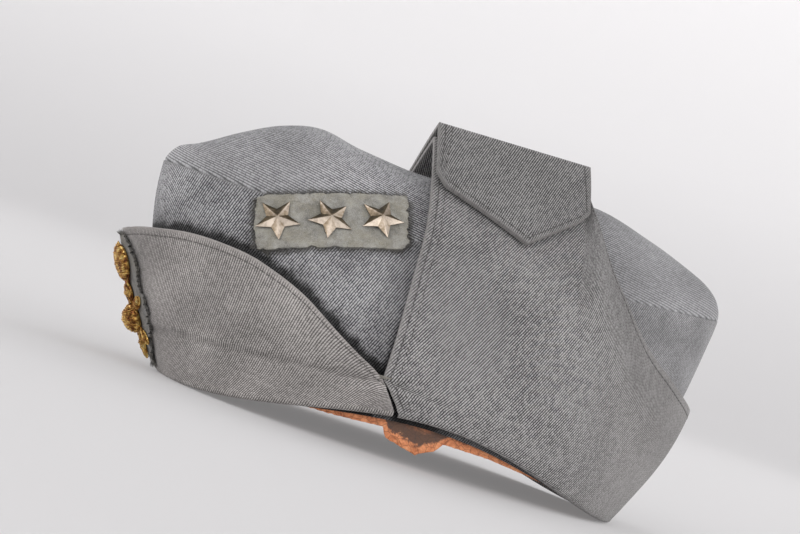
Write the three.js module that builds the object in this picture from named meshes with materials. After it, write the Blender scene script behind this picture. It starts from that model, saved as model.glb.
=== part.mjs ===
// Officer's side cap in grey wool twill, built at its real size for a head of about 58 cm.
// The crown is two side panels and an oval top panel. A front flap and two neck flaps are
// turned up round it. The neck flaps meet over the crown: the left one lies underneath, and
// the right one folds over the ridge and ends in a pointed tab on the left side. Three metal
// stars stand on a felt patch on the left, and a bullion badge on the front flap.
//
// Millimetres. -X is the front, -Y the wearer's left, +Z up. The cap rests on z = 0.

import * as THREE from "three";
import { mergeGeometries, mergeVertices } from "three/addons/utils/BufferGeometryUtils.js";

const { PI, abs, cos, floor, max, min, sin, sqrt } = Math;
const LEFT = -1;
const RIGHT = 1;

// Thickness of each wall, and the clearance kept between neighbours.
const CROWN_CLOTH = 1.6;
const FLAP_CLOTH = 2.2;
const LEATHER = 1.4;
const PATCH_FELT = 1.4;
const BADGE_FELT = 1.2;
const GAP = 0.3;
// More room under a stiff piece that lies on a curved panel, and under the badge's padding.
const CURVE_SLACK = 0.15;
const PAD_SLACK = 0.2;

// Ovals that the middle of the cloth follows: centre along X, half length and half width.
const RIM = { centre: 8.5, halfLength: 109, halfWidth: 79 };
const HEM = { centre: 8.3, halfLength: 114, halfWidth: 84 };
const SEAM = { centre: 5, halfLength: 138.5, halfWidth: 44 };
const FRONT_EDGE = { centre: -2, halfLength: 139, halfWidth: 85 };

// The lower edge lifts over the ears and is flat at the forehead and the nape.
const ARCH = { centre: 10, halfSpan: 120, height: 21.7, power: 1.8, sunk: 0.8, flat: -0.15 };
const CROWN_EDGE = { lowest: 1.4, follow: 0.82 };

// Height of the seam between side and top panels, rising towards the back.
const SEAM_RISE = { front: 93, rise: 15, power: 2.2, halfGap: 0.6, panelHeight: 100 };

// How far the side panel swells out and up from its lower edge, and out and down from the seam.
const CROWN_SWELL = {
  front: { outLow: 17, upLow: 27, outHigh: -1, downHigh: 31 },
  side: { outLow: 3, upLow: 31, outHigh: 24, downHigh: 21 },
  rear: { outLow: 13, upLow: 29, outHigh: -1, downHigh: 38 },
};

// Crest of the top panel from front to back: dented ahead of the ridge and full behind it.
const CREST = [
  { x: -133.5, z: 93 },
  { x: -132, z: 97 },
  { x: -129, z: 101 },
  { x: -121, z: 105.3 },
  { x: -104, z: 116.5 },
  { x: -88, z: 125 },
  { x: -70, z: 129.8 },
  { x: -50, z: 127 },
  { x: -20, z: 125.2 },
  { x: 20, z: 129 },
  { x: 66, z: 138.4 },
  { x: 100, z: 132.6 },
  { x: 127, z: 124.2 },
  { x: 137, z: 119 },
  { x: 142, z: 113.5 },
  { x: 143.5, z: 108 },
];
const CREST_INSET = 13;

// How full the top panel's section is, from ahead of the flaps, under them and behind them.
const TOP_FULLNESS = [
  { x: -134, power: 2.1 },
  { x: -20, power: 2.1 },
  { x: 25, power: 1.6 },
  { x: 65, power: 1.6 },
  { x: 110, power: 2 },
  { x: 144, power: 2 },
];

// The turned-in lower edge of a flap: distance inside the fold and height above its underside.
const TURN_IN = [
  { inside: 3.3, up: 1.1 },
  { inside: 1.5, up: 1.1 },
  { inside: 0.4, up: 1.6 },
  { inside: 0, up: 2.9 },
];

// Front flap: where it ends at the sides, the height of its top edge, and its swell.
const FRONT_END = { hemAngle: 79, edgeAngle: 81.3 };
const FRONT_TOP = [
  { angle: 0, left: 57.2, right: 57.2 },
  { angle: 20, left: 62.2, right: 58.5 },
  { angle: 34, left: 65.8, right: 61 },
  { angle: 45, left: 66, right: 62 },
  { angle: 52, left: 64, right: 61 },
  { angle: 62, left: 57, right: 55.5 },
  { angle: 71, left: 46, right: 45.5 },
  { angle: 82, left: 32.5, right: 32.5 },
];
const FRONT_SWELL = 1.2;

// Neck flaps: hem angle where they start, and the ridge that they fold over.
const NECK_START = 80.3;
const RIDGE = { frontX: -18, rearX: 59, rearShare: 0.35 };
// How fast the cloth turns from level with the ridge to facing straight out, behind the ridge.
const SIDEWAYS_TURN = 1.6;
const LAYER = {
  under: { frontZ: 144.2, rearZ: 148.6, roofOut: 42, roofDown: 31 },
  over: { frontZ: 151.3, rearZ: 155.7, roofOut: 43.5, roofDown: 32.5 },
};

// Rear edge of a neck flap from the ridge down to the nape: its place, the cloth's direction
// there as the swell out and down from the edge, and the swell out and up from the fold below.
const REAR_EDGE = [
  { share: 0, x: 59, y: 0, z: 148.6, out: 42, down: 31, outLow: 7, upLow: 40 },
  { share: 0.14, x: 63.5, y: 20, z: 134, out: 36, down: 29, outLow: 7, upLow: 36 },
  { share: 0.3, x: 71, y: 35, z: 117.5, out: 26, down: 28, outLow: 7.5, upLow: 32 },
  { share: 0.45, x: 81.5, y: 46, z: 102.5, out: 14, down: 26, outLow: 8, upLow: 28 },
  { share: 0.6, x: 97, y: 52.5, z: 84.5, out: 6, down: 24, outLow: 9, upLow: 25 },
  { share: 0.76, x: 117, y: 45.5, z: 72.5, out: 1.5, down: 22, outLow: 11, upLow: 22 },
  { share: 0.9, x: 136, y: 25, z: 63.5, out: -1, down: 20, outLow: 12.5, upLow: 19 },
  { share: 1, x: 144.6, y: 0, z: 58.8, out: -1.5, down: 19, outLow: 13, upLow: 18 },
];

// The front edge of a neck flap swings forward above the notch and fades out behind it.
const FRONT_SWING = [
  { z: 20, forward: 0 },
  { z: 24, forward: 2.2 },
  { z: 28.5, forward: 6 },
  { z: 33.4, forward: 11.2 },
  { z: 38.7, forward: 11.4 },
  { z: 50.5, forward: 10.4 },
  { z: 67, forward: 8.5 },
  { z: 84, forward: 5.8 },
  { z: 99, forward: 2.8 },
  { z: 113, forward: 1.1 },
  { z: 131, forward: 0.2 },
  { z: 152, forward: 0 },
];
const SWING_FADE = 0.3;

// Ends that fold over the ridge, as the share of the roof's height where they stop.
const TAB_END = [
  { x: -18, stop: 0.8 },
  { x: -13, stop: 0.752 },
  { x: 28.2, stop: 0.64 },
  { x: 54, stop: 0.77 },
  { x: 59, stop: 0.81 },
];
const UNDER_END = [
  { x: -18, stop: 0.8 },
  { x: 20.5, stop: 0.7 },
  { x: 59, stop: 0.8 },
];
const BUTTON = { x: 26, share: 0.79, radius: 6.2, thickness: 0.9, sides: 16 };

// Sweatband: its lower edge hangs a little below the cloth over the ears, torn on the left.
const BAND = { behind: 2.3, height: 30, slope: 90, closest: 0.012, nearEnd: 0.03 };
const BAND_EDGE = [
  { x: -102, z: 4.6 },
  { x: -75, z: 6.5 },
  { x: -60, z: 9.3 },
  { x: -37, z: 10.8 },
  { x: -13.5, z: 13.3 },
  { x: 15, z: 14.2 },
  { x: 36, z: 14.1 },
  { x: 57, z: 12 },
  { x: 68, z: 10.5 },
  { x: 88, z: 6.3 },
  { x: 105, z: 4.6 },
  { x: 120, z: 4.6 },
];
const TEAR = [
  { x: -13.5, z: 13.3 },
  { x: -10.5, z: 9.4 },
  { x: -2, z: 8 },
  { x: 4, z: 6.6 },
  { x: 7, z: 9.5 },
  { x: 11.5, z: 10.6 },
  { x: 15, z: 14.2 },
];

// Felt patch and stars on the left of the crown: angles along the seam, distance above it.
const PATCH = { fromAngle: 46.6, toAngle: 77.3, slant: 1.2 };
const PATCH_FRONT = { above: -16.2, height: 26 };
const PATCH_REAR = { above: 6.6, height: 31 };
const STAR = { reach: 10.6, waist: 0.48, edge: 0.5, peak: 3.1, points: 5 };
const STARS = [
  { share: 0.167, up: 0.01, turn: 0 },
  { share: 0.513, up: -0.01, turn: -12 },
  { share: 0.827, up: 0.03, turn: 8 },
];

// Badge on the front flap: half width of its felt at heights above the fold.
const BADGE_OUTLINE = [
  { up: 2.5, half: 4 },
  { up: 10, half: 9 },
  { up: 20, half: 14.5 },
  { up: 31, half: 15.5 },
  { up: 38, half: 12.5 },
  { up: 46, half: 14 },
  { up: 55, half: 12 },
  { up: 62, half: 5 },
];
// Its padded bullion: centre across and up, reach each way, height, and the turn of its axis.
const BADGE_PADS = [
  { name: "badge_plume", across: 0, up: 49.8, wide: 9.5, tall: 9, raised: 4.2, turn: 0 },
  { name: "badge_collar", across: 0, up: 35.4, wide: 5, tall: 4.8, raised: 2.8, turn: 0 },
  { name: "badge_boss", across: 0, up: 23.5, wide: 7, tall: 6.6, raised: 7, turn: 0 },
  { name: "badge_tail", across: 0, up: 10.4, wide: 3.4, tall: 6, raised: 2.4, turn: 0 },
  { name: "badge_leaf_upper_left", across: -9.6, up: 30.6, wide: 2.3, tall: 4.8, raised: 1.9, turn: 52 },
  { name: "badge_leaf_upper_right", across: 9.6, up: 30.6, wide: 2.3, tall: 4.8, raised: 1.9, turn: -52 },
  { name: "badge_leaf_lower_left", across: -8.6, up: 15.2, wide: 2.2, tall: 4.4, raised: 1.9, turn: -46 },
  { name: "badge_leaf_lower_right", across: 8.6, up: 15.2, wide: 2.2, tall: 4.4, raised: 1.9, turn: 46 },
];

const paint = (name, color, roughness, metalness = 0) =>
  new THREE.MeshStandardMaterial({ name, color, roughness, metalness });
const WOOL = paint("grey_wool_twill", 0x7f7f7c, 0.95);
const FELT = paint("patch_felt", 0x85877f, 1);
const BADGE_CLOTH = paint("badge_felt", 0x63645f, 1);
const HIDE = paint("worn_leather", 0xc0764e, 0.8);
const STAR_METAL = paint("star_metal", 0xa8988a, 0.35, 1);
const BULLION = paint("gold_bullion", 0xb08a3c, 0.4, 1);
const BUTTON_HORN = paint("hidden_button", 0x4a463f, 0.6);

const vec = (x, y, z) => new THREE.Vector3(x, y, z);
const radians = THREE.MathUtils.degToRad;
const mix = THREE.MathUtils.lerp;
const root = new THREE.Group();

// One column of a short table at any place between its rows, as a smooth curve.
function along(rows, key, column) {
  const places = rows.map((row) => row[key]);
  const values = rows.map((row) => row[column]);
  const last = rows.length - 1;
  const slope = (i) => {
    const before = max(i - 1, 0);
    const after = min(i + 1, last);
    return (values[after] - values[before]) / (places[after] - places[before]);
  };
  return (place) => {
    const at = THREE.MathUtils.clamp(place, places[0], places[last]);
    const i = min(max(places.findIndex((p) => p > at) - 1, 0), last - 1);
    const row = at >= places[last] ? last - 1 : i;
    const span = places[row + 1] - places[row];
    const t = (at - places[row]) / span;
    const rest = 1 - t;
    const ends = values[row] * (1 + 2 * t) * rest * rest + values[row + 1] * (3 - 2 * t) * t * t;
    return ends + span * t * rest * (slope(row) * rest - slope(row + 1) * t);
  };
}

// The same column with straight lines between the rows, where the outline has corners.
function straight(rows, key, column) {
  return (place) => {
    const after = rows.findIndex((row) => row[key] >= place);
    if (after === 0) return rows[0][column];
    if (after < 0) return rows[rows.length - 1][column];
    const [a, b] = [rows[after - 1], rows[after]];
    return mix(a[column], b[column], (place - a[key]) / (b[key] - a[key]));
  };
}

function bezier(p0, p1, p2, p3, t) {
  return new THREE.CubicBezierCurve3(p0, p1, p2, p3).getPoint(t);
}

// A point of an oval. Angle 0 is the front and 180 degrees the back.
function onOval(oval, angle, side, z) {
  const y = side * max(oval.halfWidth * sin(angle), GAP / 2);
  return vec(oval.centre - oval.halfLength * cos(angle), y, z);
}

// The direction straight out from an oval, level with the floor.
function outOf(oval, angle, side) {
  const x = -oval.halfWidth * cos(angle);
  const y = side * oval.halfLength * sin(angle);
  return vec(x, y, 0).normalize();
}

function archHeight(x) {
  const share = min(abs(x - ARCH.centre) / ARCH.halfSpan, 1);
  return max(ARCH.height * cos((share * PI) / 2) ** ARCH.power - ARCH.sunk, ARCH.flat);
}

function seamHeight(x) {
  const share = (x - (SEAM.centre - SEAM.halfLength)) / (2 * SEAM.halfLength);
  return SEAM_RISE.front + SEAM_RISE.rise * max(share, 0) ** SEAM_RISE.power;
}

function swell(column, angle) {
  const sideways = sin(angle) ** 2;
  const end = angle < PI / 2 ? CROWN_SWELL.front : CROWN_SWELL.rear;
  return CROWN_SWELL.side[column] * sideways + end[column] * (1 - sideways);
}

// The side panel's middle surface: share 0 is its lower edge and 1 the seam.
function crownSide(side, angle, share) {
  const low = onOval(RIM, angle, side, 0);
  low.z = CROWN_EDGE.lowest + CROWN_EDGE.follow * max(archHeight(low.x), 0);
  const high = onOval(SEAM, angle, side, 0);
  high.z = seamHeight(high.x);
  const out = outOf(RIM, angle, side);
  const lower = low.clone().addScaledVector(out, swell("outLow", angle));
  lower.z += swell("upLow", angle);
  const upper = high.clone().addScaledVector(out, swell("outHigh", angle));
  upper.z -= swell("downHigh", angle);
  return bezier(low, lower, upper, high, share);
}

// The top panel's middle surface: share 0 is the seam and 1 the crest line.
const crestHeight = along(CREST, "x", "z");
const topFullness = along(TOP_FULLNESS, "x", "power");
function crownTop(side, angle, share) {
  const reach = SEAM.halfLength - CREST_INSET * share;
  const x = SEAM.centre - reach * cos(angle);
  const halfWidth = SEAM.halfWidth * sqrt(max(1 - ((x - SEAM.centre) / SEAM.halfLength) ** 2, 0));
  const y = SEAM.halfWidth * sin(angle) * (1 - share);
  const across = halfWidth > 0 ? min(y / halfWidth, 1) : 1;
  const rise = crestHeight(x) - seamHeight(x);
  return vec(x, side * y, seamHeight(x) + rise * (1 - across ** topFullness(x)));
}

// The crown at a distance in millimetres above the seam, or below it where negative.
const WALK_STEPS = 24;
function crownAt(side, angle, above) {
  const surface = above < 0 ? crownSide : crownTop;
  const seamShare = above < 0 ? 1 : 0;
  let before = surface(side, angle, seamShare);
  let left = abs(above);
  for (let i = 1; i <= WALK_STEPS; i += 1) {
    const share = abs(seamShare - i / WALK_STEPS);
    const next = surface(side, angle, share);
    const length = next.distanceTo(before);
    if (length >= left) return before.lerp(next, left / length);
    left -= length;
    before = next;
  }
  return before;
}

// The unit normal of a surface given by a function of two shares.
function normalOf(surface, u, v) {
  const step = 1e-3;
  const alongU = surface(u + step, v).sub(surface(u - step, v));
  const alongV = surface(u, v + step).sub(surface(u, v - step));
  return alongU.cross(alongV).normalize();
}

// One grid of triangles over a surface, open at its edges.
function grid(surface, columns, rows) {
  const places = [];
  const index = [];
  columns.forEach((u) => rows.forEach((v) => places.push(...surface(u, v).toArray())));
  for (let c = 0; c + 1 < columns.length; c += 1) {
    for (let r = 0; r + 1 < rows.length; r += 1) {
      const a = c * rows.length + r;
      const b = a + rows.length;
      index.push(a, b, b + 1, a, b + 1, a + 1);
    }
  }
  const made = new THREE.BufferGeometry();
  made.setAttribute("position", new THREE.Float32BufferAttribute(places, 3));
  return made.setIndex(index);
}

const evenly = (from, to, count) =>
  Array.from({ length: count + 1 }, (_, i) => mix(from, to, i / count));

// Gives open grids that meet along their edges a thickness, as one closed wall.
// What comes below the surface that the cap rests on is pressed flat there, and a piece that
// ends at the middle of the cap keeps to its own side of it from a place along X.
function thicken(grids, under, over, ownSide = 0, fromX = -Infinity) {
  const skin = mergeVertices(mergeGeometries(grids), 1e-3);
  skin.computeVertexNormals();
  const at = skin.getAttribute("position");
  const normal = skin.getAttribute("normal");
  const count = at.count;
  const places = new Float32Array(count * 6);
  for (let i = 0; i < count; i += 1) {
    const p = vec().fromBufferAttribute(at, i);
    const n = vec().fromBufferAttribute(normal, i);
    [over, -under].forEach((offset, layer) => {
      const q = p.clone().addScaledVector(n, offset);
      if (ownSide && q.x > fromX) q.y = ownSide * max(ownSide * q.y, GAP / 2);
      places.set([q.x, q.y, max(q.z, 0)], (layer * count + i) * 3);
    });
  }
  const faces = Array.from(skin.index.array);
  const index = [...faces];
  const edges = new Map();
  for (let i = 0; i < faces.length; i += 3) {
    const [a, b, c] = faces.slice(i, i + 3);
    index.push(c + count, b + count, a + count);
    [[a, b], [b, c], [c, a]].forEach(([p, q]) => edges.set(`${p},${q}`, [p, q]));
  }
  edges.forEach(([p, q]) => {
    if (edges.has(`${q},${p}`)) return;
    index.push(q, p, p + count, q, p + count, q + count);
  });
  const made = new THREE.BufferGeometry();
  made.setAttribute("position", new THREE.BufferAttribute(places, 3));
  return made.setIndex(index);
}

// Turns every face round where the solid came out inside out.
function facingOut(geometry) {
  const at = geometry.getAttribute("position");
  const faces = geometry.index.array;
  let volume = 0;
  for (let i = 0; i < faces.length; i += 3) {
    const [a, b, c] = [0, 1, 2].map((k) => vec().fromBufferAttribute(at, faces[i + k]));
    volume += a.dot(b.cross(c));
  }
  if (volume < 0) {
    for (let i = 0; i < faces.length; i += 3) {
      [faces[i], faces[i + 1]] = [faces[i + 1], faces[i]];
    }
  }
  return geometry;
}

function add(name, material, geometry) {
  const mesh = new THREE.Mesh(facingOut(geometry), material);
  mesh.name = name;
  root.add(mesh);
  return mesh;
}

function addCrown() {
  const trim = SEAM_RISE.halfGap / SEAM_RISE.panelHeight;
  const angles = evenly(0, PI, 24);
  [LEFT, RIGHT].forEach((side) => {
    const panel = grid((a, s) => crownSide(side, a, s), angles, evenly(0, 1 - trim, 7));
    const name = side === LEFT ? "crown_side_left" : "crown_side_right";
    add(name, WOOL, thicken([panel], CROWN_CLOTH / 2, CROWN_CLOTH / 2, side));
  });
  const start = SEAM_RISE.halfGap / SEAM.halfWidth;
  const rows = [start, 0.1, 0.25, 0.45, 0.7, 1];
  const halves = [LEFT, RIGHT].map((side) => {
    const half = grid((a, s) => crownTop(side, a, s), angles, rows);
    if (side === RIGHT) half.setIndex(Array.from(half.index.array).reverse());
    return half;
  });
  add("crown_top", WOOL, thicken(halves, CROWN_CLOTH / 2, CROWN_CLOTH / 2));
}

// A flap's lower edge, turned in under it. The row counts from inside, and the last is the fold.
function turnedIn(angle, side, row) {
  const { inside, up } = TURN_IN[row];
  const fold = onOval(HEM, angle, side, 0);
  const place = fold.clone().addScaledVector(outOf(HEM, angle, side), -inside);
  place.z = archHeight(fold.x) + up;
  return place;
}

const leftTop = along(FRONT_TOP, "angle", "left");
const rightTop = along(FRONT_TOP, "angle", "right");
// The front flap's middle surface: turn runs from -1 at the left end to 1 at the right.
function frontFlap(turn, share) {
  const side = turn < 0 ? LEFT : RIGHT;
  const hemAngle = radians(FRONT_END.hemAngle * abs(turn));
  const low = turnedIn(hemAngle, side, TURN_IN.length - 1);
  const edgeAngle = FRONT_END.edgeAngle * abs(turn);
  const topHeight = side === LEFT ? leftTop(edgeAngle) : rightTop(edgeAngle);
  const high = onOval(FRONT_EDGE, radians(edgeAngle), side, topHeight);
  [low, high].forEach((p) => {
    if (turn === 0) p.y = 0;
  });
  const place = low.clone().lerp(high, share);
  const bulge = FRONT_SWELL * sin(PI * share);
  return place.addScaledVector(outOf(HEM, hemAngle, side), bulge);
}

// A function of a row number that runs through the turned-in edge and then up the flap.
function flapRows(hemAt, flapAt, shares) {
  const turned = TURN_IN.length - 1;
  const rows = Array.from({ length: turned + shares.length }, (_, i) => i);
  const surface = (u, row) => (row < turned ? hemAt(u, row) : flapAt(u, shares[row - turned]));
  return { rows, surface };
}

function addFrontFlap() {
  const hemAt = (turn, row) => {
    const angle = radians(FRONT_END.hemAngle * abs(turn));
    const place = turnedIn(angle, turn < 0 ? LEFT : RIGHT, row);
    if (turn === 0) place.y = 0;
    return place;
  };
  const { rows, surface } = flapRows(hemAt, frontFlap, evenly(0, 1, 5));
  const sheet = grid(surface, evenly(-1, 1, 34), rows);
  add("front_flap", WOOL, thicken([sheet], FLAP_CLOTH / 2, FLAP_CLOTH / 2));
}

const COLUMNS = ["x", "y", "z", "out", "down", "outLow", "upLow"];
const edge = Object.fromEntries(COLUMNS.map((c) => [c, along(REAR_EDGE, "share", c)]));
const swing = along(FRONT_SWING, "z", "forward");

// A neck flap's middle surface on one side. Round is 0 at its front edge and 1 at the nape,
// and share 0 is the fold and 1 the ridge or the rear edge.
function neckFlap(layer, side, round, share) {
  const { frontZ, rearZ, roofOut, roofDown } = LAYER[layer];
  const angle = mix(radians(NECK_START), PI, round);
  const out = outOf(HEM, angle, side);
  const onRidge = min(round / RIDGE.rearShare, 1);
  const behind = max((round - RIDGE.rearShare) / (1 - RIDGE.rearShare), 0);
  const nearRidge = max(1 - behind / REAR_EDGE[1].share, 0);
  const low = turnedIn(angle, side, TURN_IN.length - 1);
  const lower = low.clone().addScaledVector(out, edge.outLow(behind));
  lower.z += edge.upLow(behind);
  const high = vec(edge.x(behind), side * edge.y(behind), edge.z(behind));
  high.x += (1 - onRidge) * (RIDGE.frontX - RIDGE.rearX);
  high.z += (rearZ - REAR_EDGE[0].z) * nearRidge + (1 - onRidge) * (frontZ - rearZ);
  const sideways = vec(0, side, 0).lerp(out, min(behind * SIDEWAYS_TURN, 1)).normalize();
  const moreOut = (roofOut - REAR_EDGE[0].out) * nearRidge;
  const upper = high.clone().addScaledVector(sideways, edge.out(behind) + moreOut);
  upper.z -= edge.down(behind) + (roofDown - REAR_EDGE[0].down) * nearRidge;
  const place = bezier(low, lower, upper, high, share);
  place.x -= swing(place.z) * max(1 - round / SWING_FADE, 0) ** 2;
  return place;
}

function addNeckFlap(name, layer, side, endRows) {
  const hemAt = (round, row) => turnedIn(mix(radians(NECK_START), PI, round), side, row);
  const flapAt = (round, share) => neckFlap(layer, side, round, share);
  const shares = [...evenly(0, 0.9, 8), 1];
  const { rows, surface } = flapRows(hemAt, flapAt, shares);
  const ridgeColumns = evenly(0, RIDGE.rearShare, 9);
  const rearColumns = evenly(RIDGE.rearShare, 1, 14);
  const panel = grid(surface, [...ridgeColumns, ...rearColumns.slice(1)], rows);
  const stop = straight(endRows, "x", "stop");
  const foldedOver = (round, down) => {
    const x = mix(RIDGE.frontX, RIDGE.rearX, round / RIDGE.rearShare);
    const share = 1 - down * (1 - stop(x));
    return neckFlap(layer, -side, round, share);
  };
  const end = grid(foldedOver, ridgeColumns, [0, 0.25, 0.5, 0.75, 1]);
  const behindRidge = RIDGE.rearX + 2 * FLAP_CLOTH;
  add(name, WOOL, thicken([panel, end], FLAP_CLOTH / 2, FLAP_CLOTH / 2, side, behindRidge));
}

function addTabButton() {
  const { radius, thickness, sides, share } = BUTTON;
  const round = ((BUTTON.x - RIDGE.frontX) / (RIDGE.rearX - RIDGE.frontX)) * RIDGE.rearShare;
  const layers = ["under", "over"];
  const [below, above] = layers.map((layer) => neckFlap(layer, LEFT, round, share));
  const normal = vec();
  layers.forEach((layer) => {
    const slope = normalOf((u, v) => neckFlap(layer, LEFT, u, v), round, share);
    normal.addScaledVector(slope, slope.z < 0 ? -1 : 1);
  });
  const mesh = add("tab_button", BUTTON_HORN, new THREE.CylinderGeometry(radius, radius, thickness, sides));
  mesh.position.copy(below.lerp(above, 0.5));
  mesh.quaternion.setFromUnitVectors(vec(0, 1, 0), normal.normalize());
}

const plainEdge = straight(BAND_EDGE, "x", "z");
const tornEdge = straight(TEAR, "x", "z");
// The height of the sweatband's lower edge at a place along either side.
function bandEdge(side, x) {
  const inTear = side === LEFT && x > TEAR[0].x && x < TEAR[TEAR.length - 1].x;
  return inTear ? tornEdge(x) : plainEdge(x);
}

function addSweatband() {
  const tearAngles = TEAR.map((row) => Math.acos((RIM.centre - row.x) / RIM.halfLength));
  const angles = [...evenly(0, PI, 26), ...tearAngles].sort((a, b) => a - b);
  const apart = angles.filter((a, i) => i === 0 || a - angles[i - 1] > BAND.closest);
  const ring = [...apart, ...apart.slice(1, -1).reverse().map((a) => 2 * PI - a), 2 * PI];
  const surface = (turn, row) => {
    const side = turn > PI ? RIGHT : LEFT;
    const angle = min(turn, 2 * PI - turn);
    const x = RIM.centre - RIM.halfLength * cos(angle);
    const face = (a, s) => crownSide(side, a, s);
    const foot = face(angle, 0).z;
    const share = mix(bandEdge(side, x) - foot, BAND.height, row) / BAND.slope;
    const place = face(angle, share);
    const inside = THREE.MathUtils.clamp(angle, BAND.nearEnd, PI - BAND.nearEnd);
    const normal = normalOf(face, inside, share);
    const inward = vec(RIM.centre - place.x, -place.y, 0);
    if (normal.dot(inward) < 0) normal.negate();
    if (sin(angle) < BAND.nearEnd) {
      place.y = 0;
      normal.y = 0;
    }
    return place.addScaledVector(normal, BAND.behind);
  };
  const sheet = grid(surface, ring, [0, 0.3, 0.65, 1]);
  add("sweatband", HIDE, thicken([sheet], LEATHER / 2, LEATHER / 2));
}

// A place on the felt patch: share along it from the front, and up from -1/2 to 1/2.
function patchAt(share, up) {
  const column = (key) => mix(PATCH_FRONT[key], PATCH_REAR[key], share);
  const angle = mix(PATCH.fromAngle, PATCH.toAngle, share) - 2 * up * PATCH.slant;
  return crownAt(LEFT, radians(angle), column("above") + up * column("height"));
}

function addPatch() {
  const sheet = grid(patchAt, evenly(0, 1, 12), evenly(-0.5, 0.5, 6));
  const clear = CROWN_CLOTH / 2 + GAP + CURVE_SLACK;
  const faced = facedOutward(sheet);
  add("rank_patch", FELT, thicken([faced], -clear, clear + PATCH_FELT));
}

// Turns an open sheet on the left of the cap so that its faces look away from the crown.
function facedOutward(sheet) {
  const probe = sheet.clone();
  probe.computeVertexNormals();
  const normals = probe.getAttribute("normal");
  const middleOne = vec().fromBufferAttribute(normals, floor(normals.count / 2));
  if (middleOne.y > 0) sheet.setIndex(Array.from(sheet.index.array).reverse());
  return sheet;
}

// A pressed metal star: five points with a ridge along each, meeting at a peak.
function starGeometry() {
  const ring = Array.from({ length: 2 * STAR.points }, (_, i) => {
    const reach = i % 2 === 0 ? STAR.reach : STAR.reach * STAR.waist;
    const angle = -PI / 2 + (i * PI) / STAR.points;
    return [reach * cos(angle), reach * sin(angle)];
  });
  const count = ring.length;
  const places = [
    ...ring.flatMap(([x, y]) => [x, y, 0]),
    ...ring.flatMap(([x, y]) => [x, y, STAR.edge]),
    ...[0, 0, 0],
    ...[0, 0, STAR.peak],
  ];
  const index = ring.flatMap((_, i) => {
    const j = (i + 1) % count;
    const wall = [i, j, count + j, i, count + j, count + i];
    return [...wall, 2 * count, j, i, 2 * count + 1, count + i, count + j];
  });
  const made = new THREE.BufferGeometry();
  made.setAttribute("position", new THREE.Float32BufferAttribute(places, 3));
  return made.setIndex(index);
}

function addStars() {
  const clear = CROWN_CLOTH / 2 + 2 * GAP + CURVE_SLACK + PATCH_FELT;
  const { reach } = STAR;
  const lengthwise = reach / patchAt(0, 0).distanceTo(patchAt(1, 0));
  const upward = reach / PATCH_FRONT.height;
  STARS.forEach(({ share, up, turn }, i) => {
    const at = (x, y) => patchAt(share + x * lengthwise, up + y * upward);
    const centre = at(0, 0);
    const right = at(1, 0).sub(at(-1, 0)).normalize();
    const out = right.clone().cross(at(0, 1).sub(at(0, -1))).normalize();
    const top = out.clone().cross(right).normalize();
    const rim = evenly(0, 2 * PI, 12).map((a) => at(cos(a), sin(a)).sub(centre).dot(out));
    const mesh = add(`star_${i + 1}`, STAR_METAL, starGeometry());
    mesh.quaternion.setFromRotationMatrix(new THREE.Matrix4().makeBasis(right, top, out));
    mesh.rotateZ(radians(turn));
    mesh.position.copy(centre).addScaledVector(out, clear + max(0, ...rim));
  });
}

// A place on the front flap in millimetres across from its middle and up from its fold.
const FLAP_LENGTH = 65;
function onFrontFlap(across, up, lift) {
  const turn = across / (HEM.halfWidth * radians(FRONT_END.hemAngle));
  const place = frontFlap(turn, up / FLAP_LENGTH);
  const normal = normalOf(frontFlap, turn, up / FLAP_LENGTH);
  if (normal.x > 0) normal.negate();
  return place.addScaledVector(normal, lift);
}

const BADGE_LIFT = FLAP_CLOTH / 2 + GAP + CURVE_SLACK;
function addBadgeFelt() {
  const half = along(BADGE_OUTLINE, "up", "half");
  const rows = evenly(BADGE_OUTLINE[0].up, BADGE_OUTLINE[BADGE_OUTLINE.length - 1].up, 12);
  const middle = BADGE_LIFT + BADGE_FELT / 2;
  const sheet = grid((u, up) => onFrontFlap(u * half(up), up, middle), evenly(-1, 1, 5), rows);
  add("badge_backing", BADGE_CLOTH, thicken([sheet], BADGE_FELT / 2, BADGE_FELT / 2));
}

// A padded piece of the badge: a dome over an oval that follows the felt's curve.
function addBadgePad({ name, across, up, wide, tall, raised, turn }) {
  const foot = BADGE_LIFT + BADGE_FELT + GAP + PAD_SLACK;
  const sides = 12;
  const rings = [1, 0.88, 0.55];
  const rim = 0.25;
  const lean = radians(turn);
  const at = (reach, i, lift) => {
    const angle = (i / sides) * 2 * PI;
    const [a, b] = [reach * wide * cos(angle), reach * tall * sin(angle)];
    const x = a * cos(lean) - b * sin(lean);
    const y = a * sin(lean) + b * cos(lean);
    return onFrontFlap(across + x, up + y, foot + lift).toArray();
  };
  const dome = (reach) => raised * mix(rim, 1, sqrt(1 - reach * reach));
  const places = Array.from({ length: sides }, (_, i) => at(1, i, 0)).flat();
  rings.forEach((reach) => {
    for (let i = 0; i < sides; i += 1) places.push(...at(reach, i, dome(reach)));
  });
  places.push(...at(0, 0, raised), ...at(0, 0, 0));
  const index = [];
  const top = sides * (rings.length + 1);
  for (let i = 0; i < sides; i += 1) {
    const j = (i + 1) % sides;
    for (let r = 0; r < rings.length; r += 1) {
      const [a, b] = [r * sides, (r + 1) * sides];
      index.push(a + i, a + j, b + j, a + i, b + j, b + i);
    }
    index.push(rings.length * sides + i, rings.length * sides + j, top, top + 1, j, i);
  }
  const made = new THREE.BufferGeometry();
  made.setAttribute("position", new THREE.Float32BufferAttribute(places, 3));
  add(name, BULLION, made.setIndex(index));
}

addCrown();
addFrontFlap();
addNeckFlap("neck_flap_left", "under", LEFT, UNDER_END);
addNeckFlap("neck_flap_right", "over", RIGHT, TAB_END);
addTabButton();
addSweatband();
addPatch();
addStars();
addBadgeFelt();
BADGE_PADS.forEach(addBadgePad);

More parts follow.
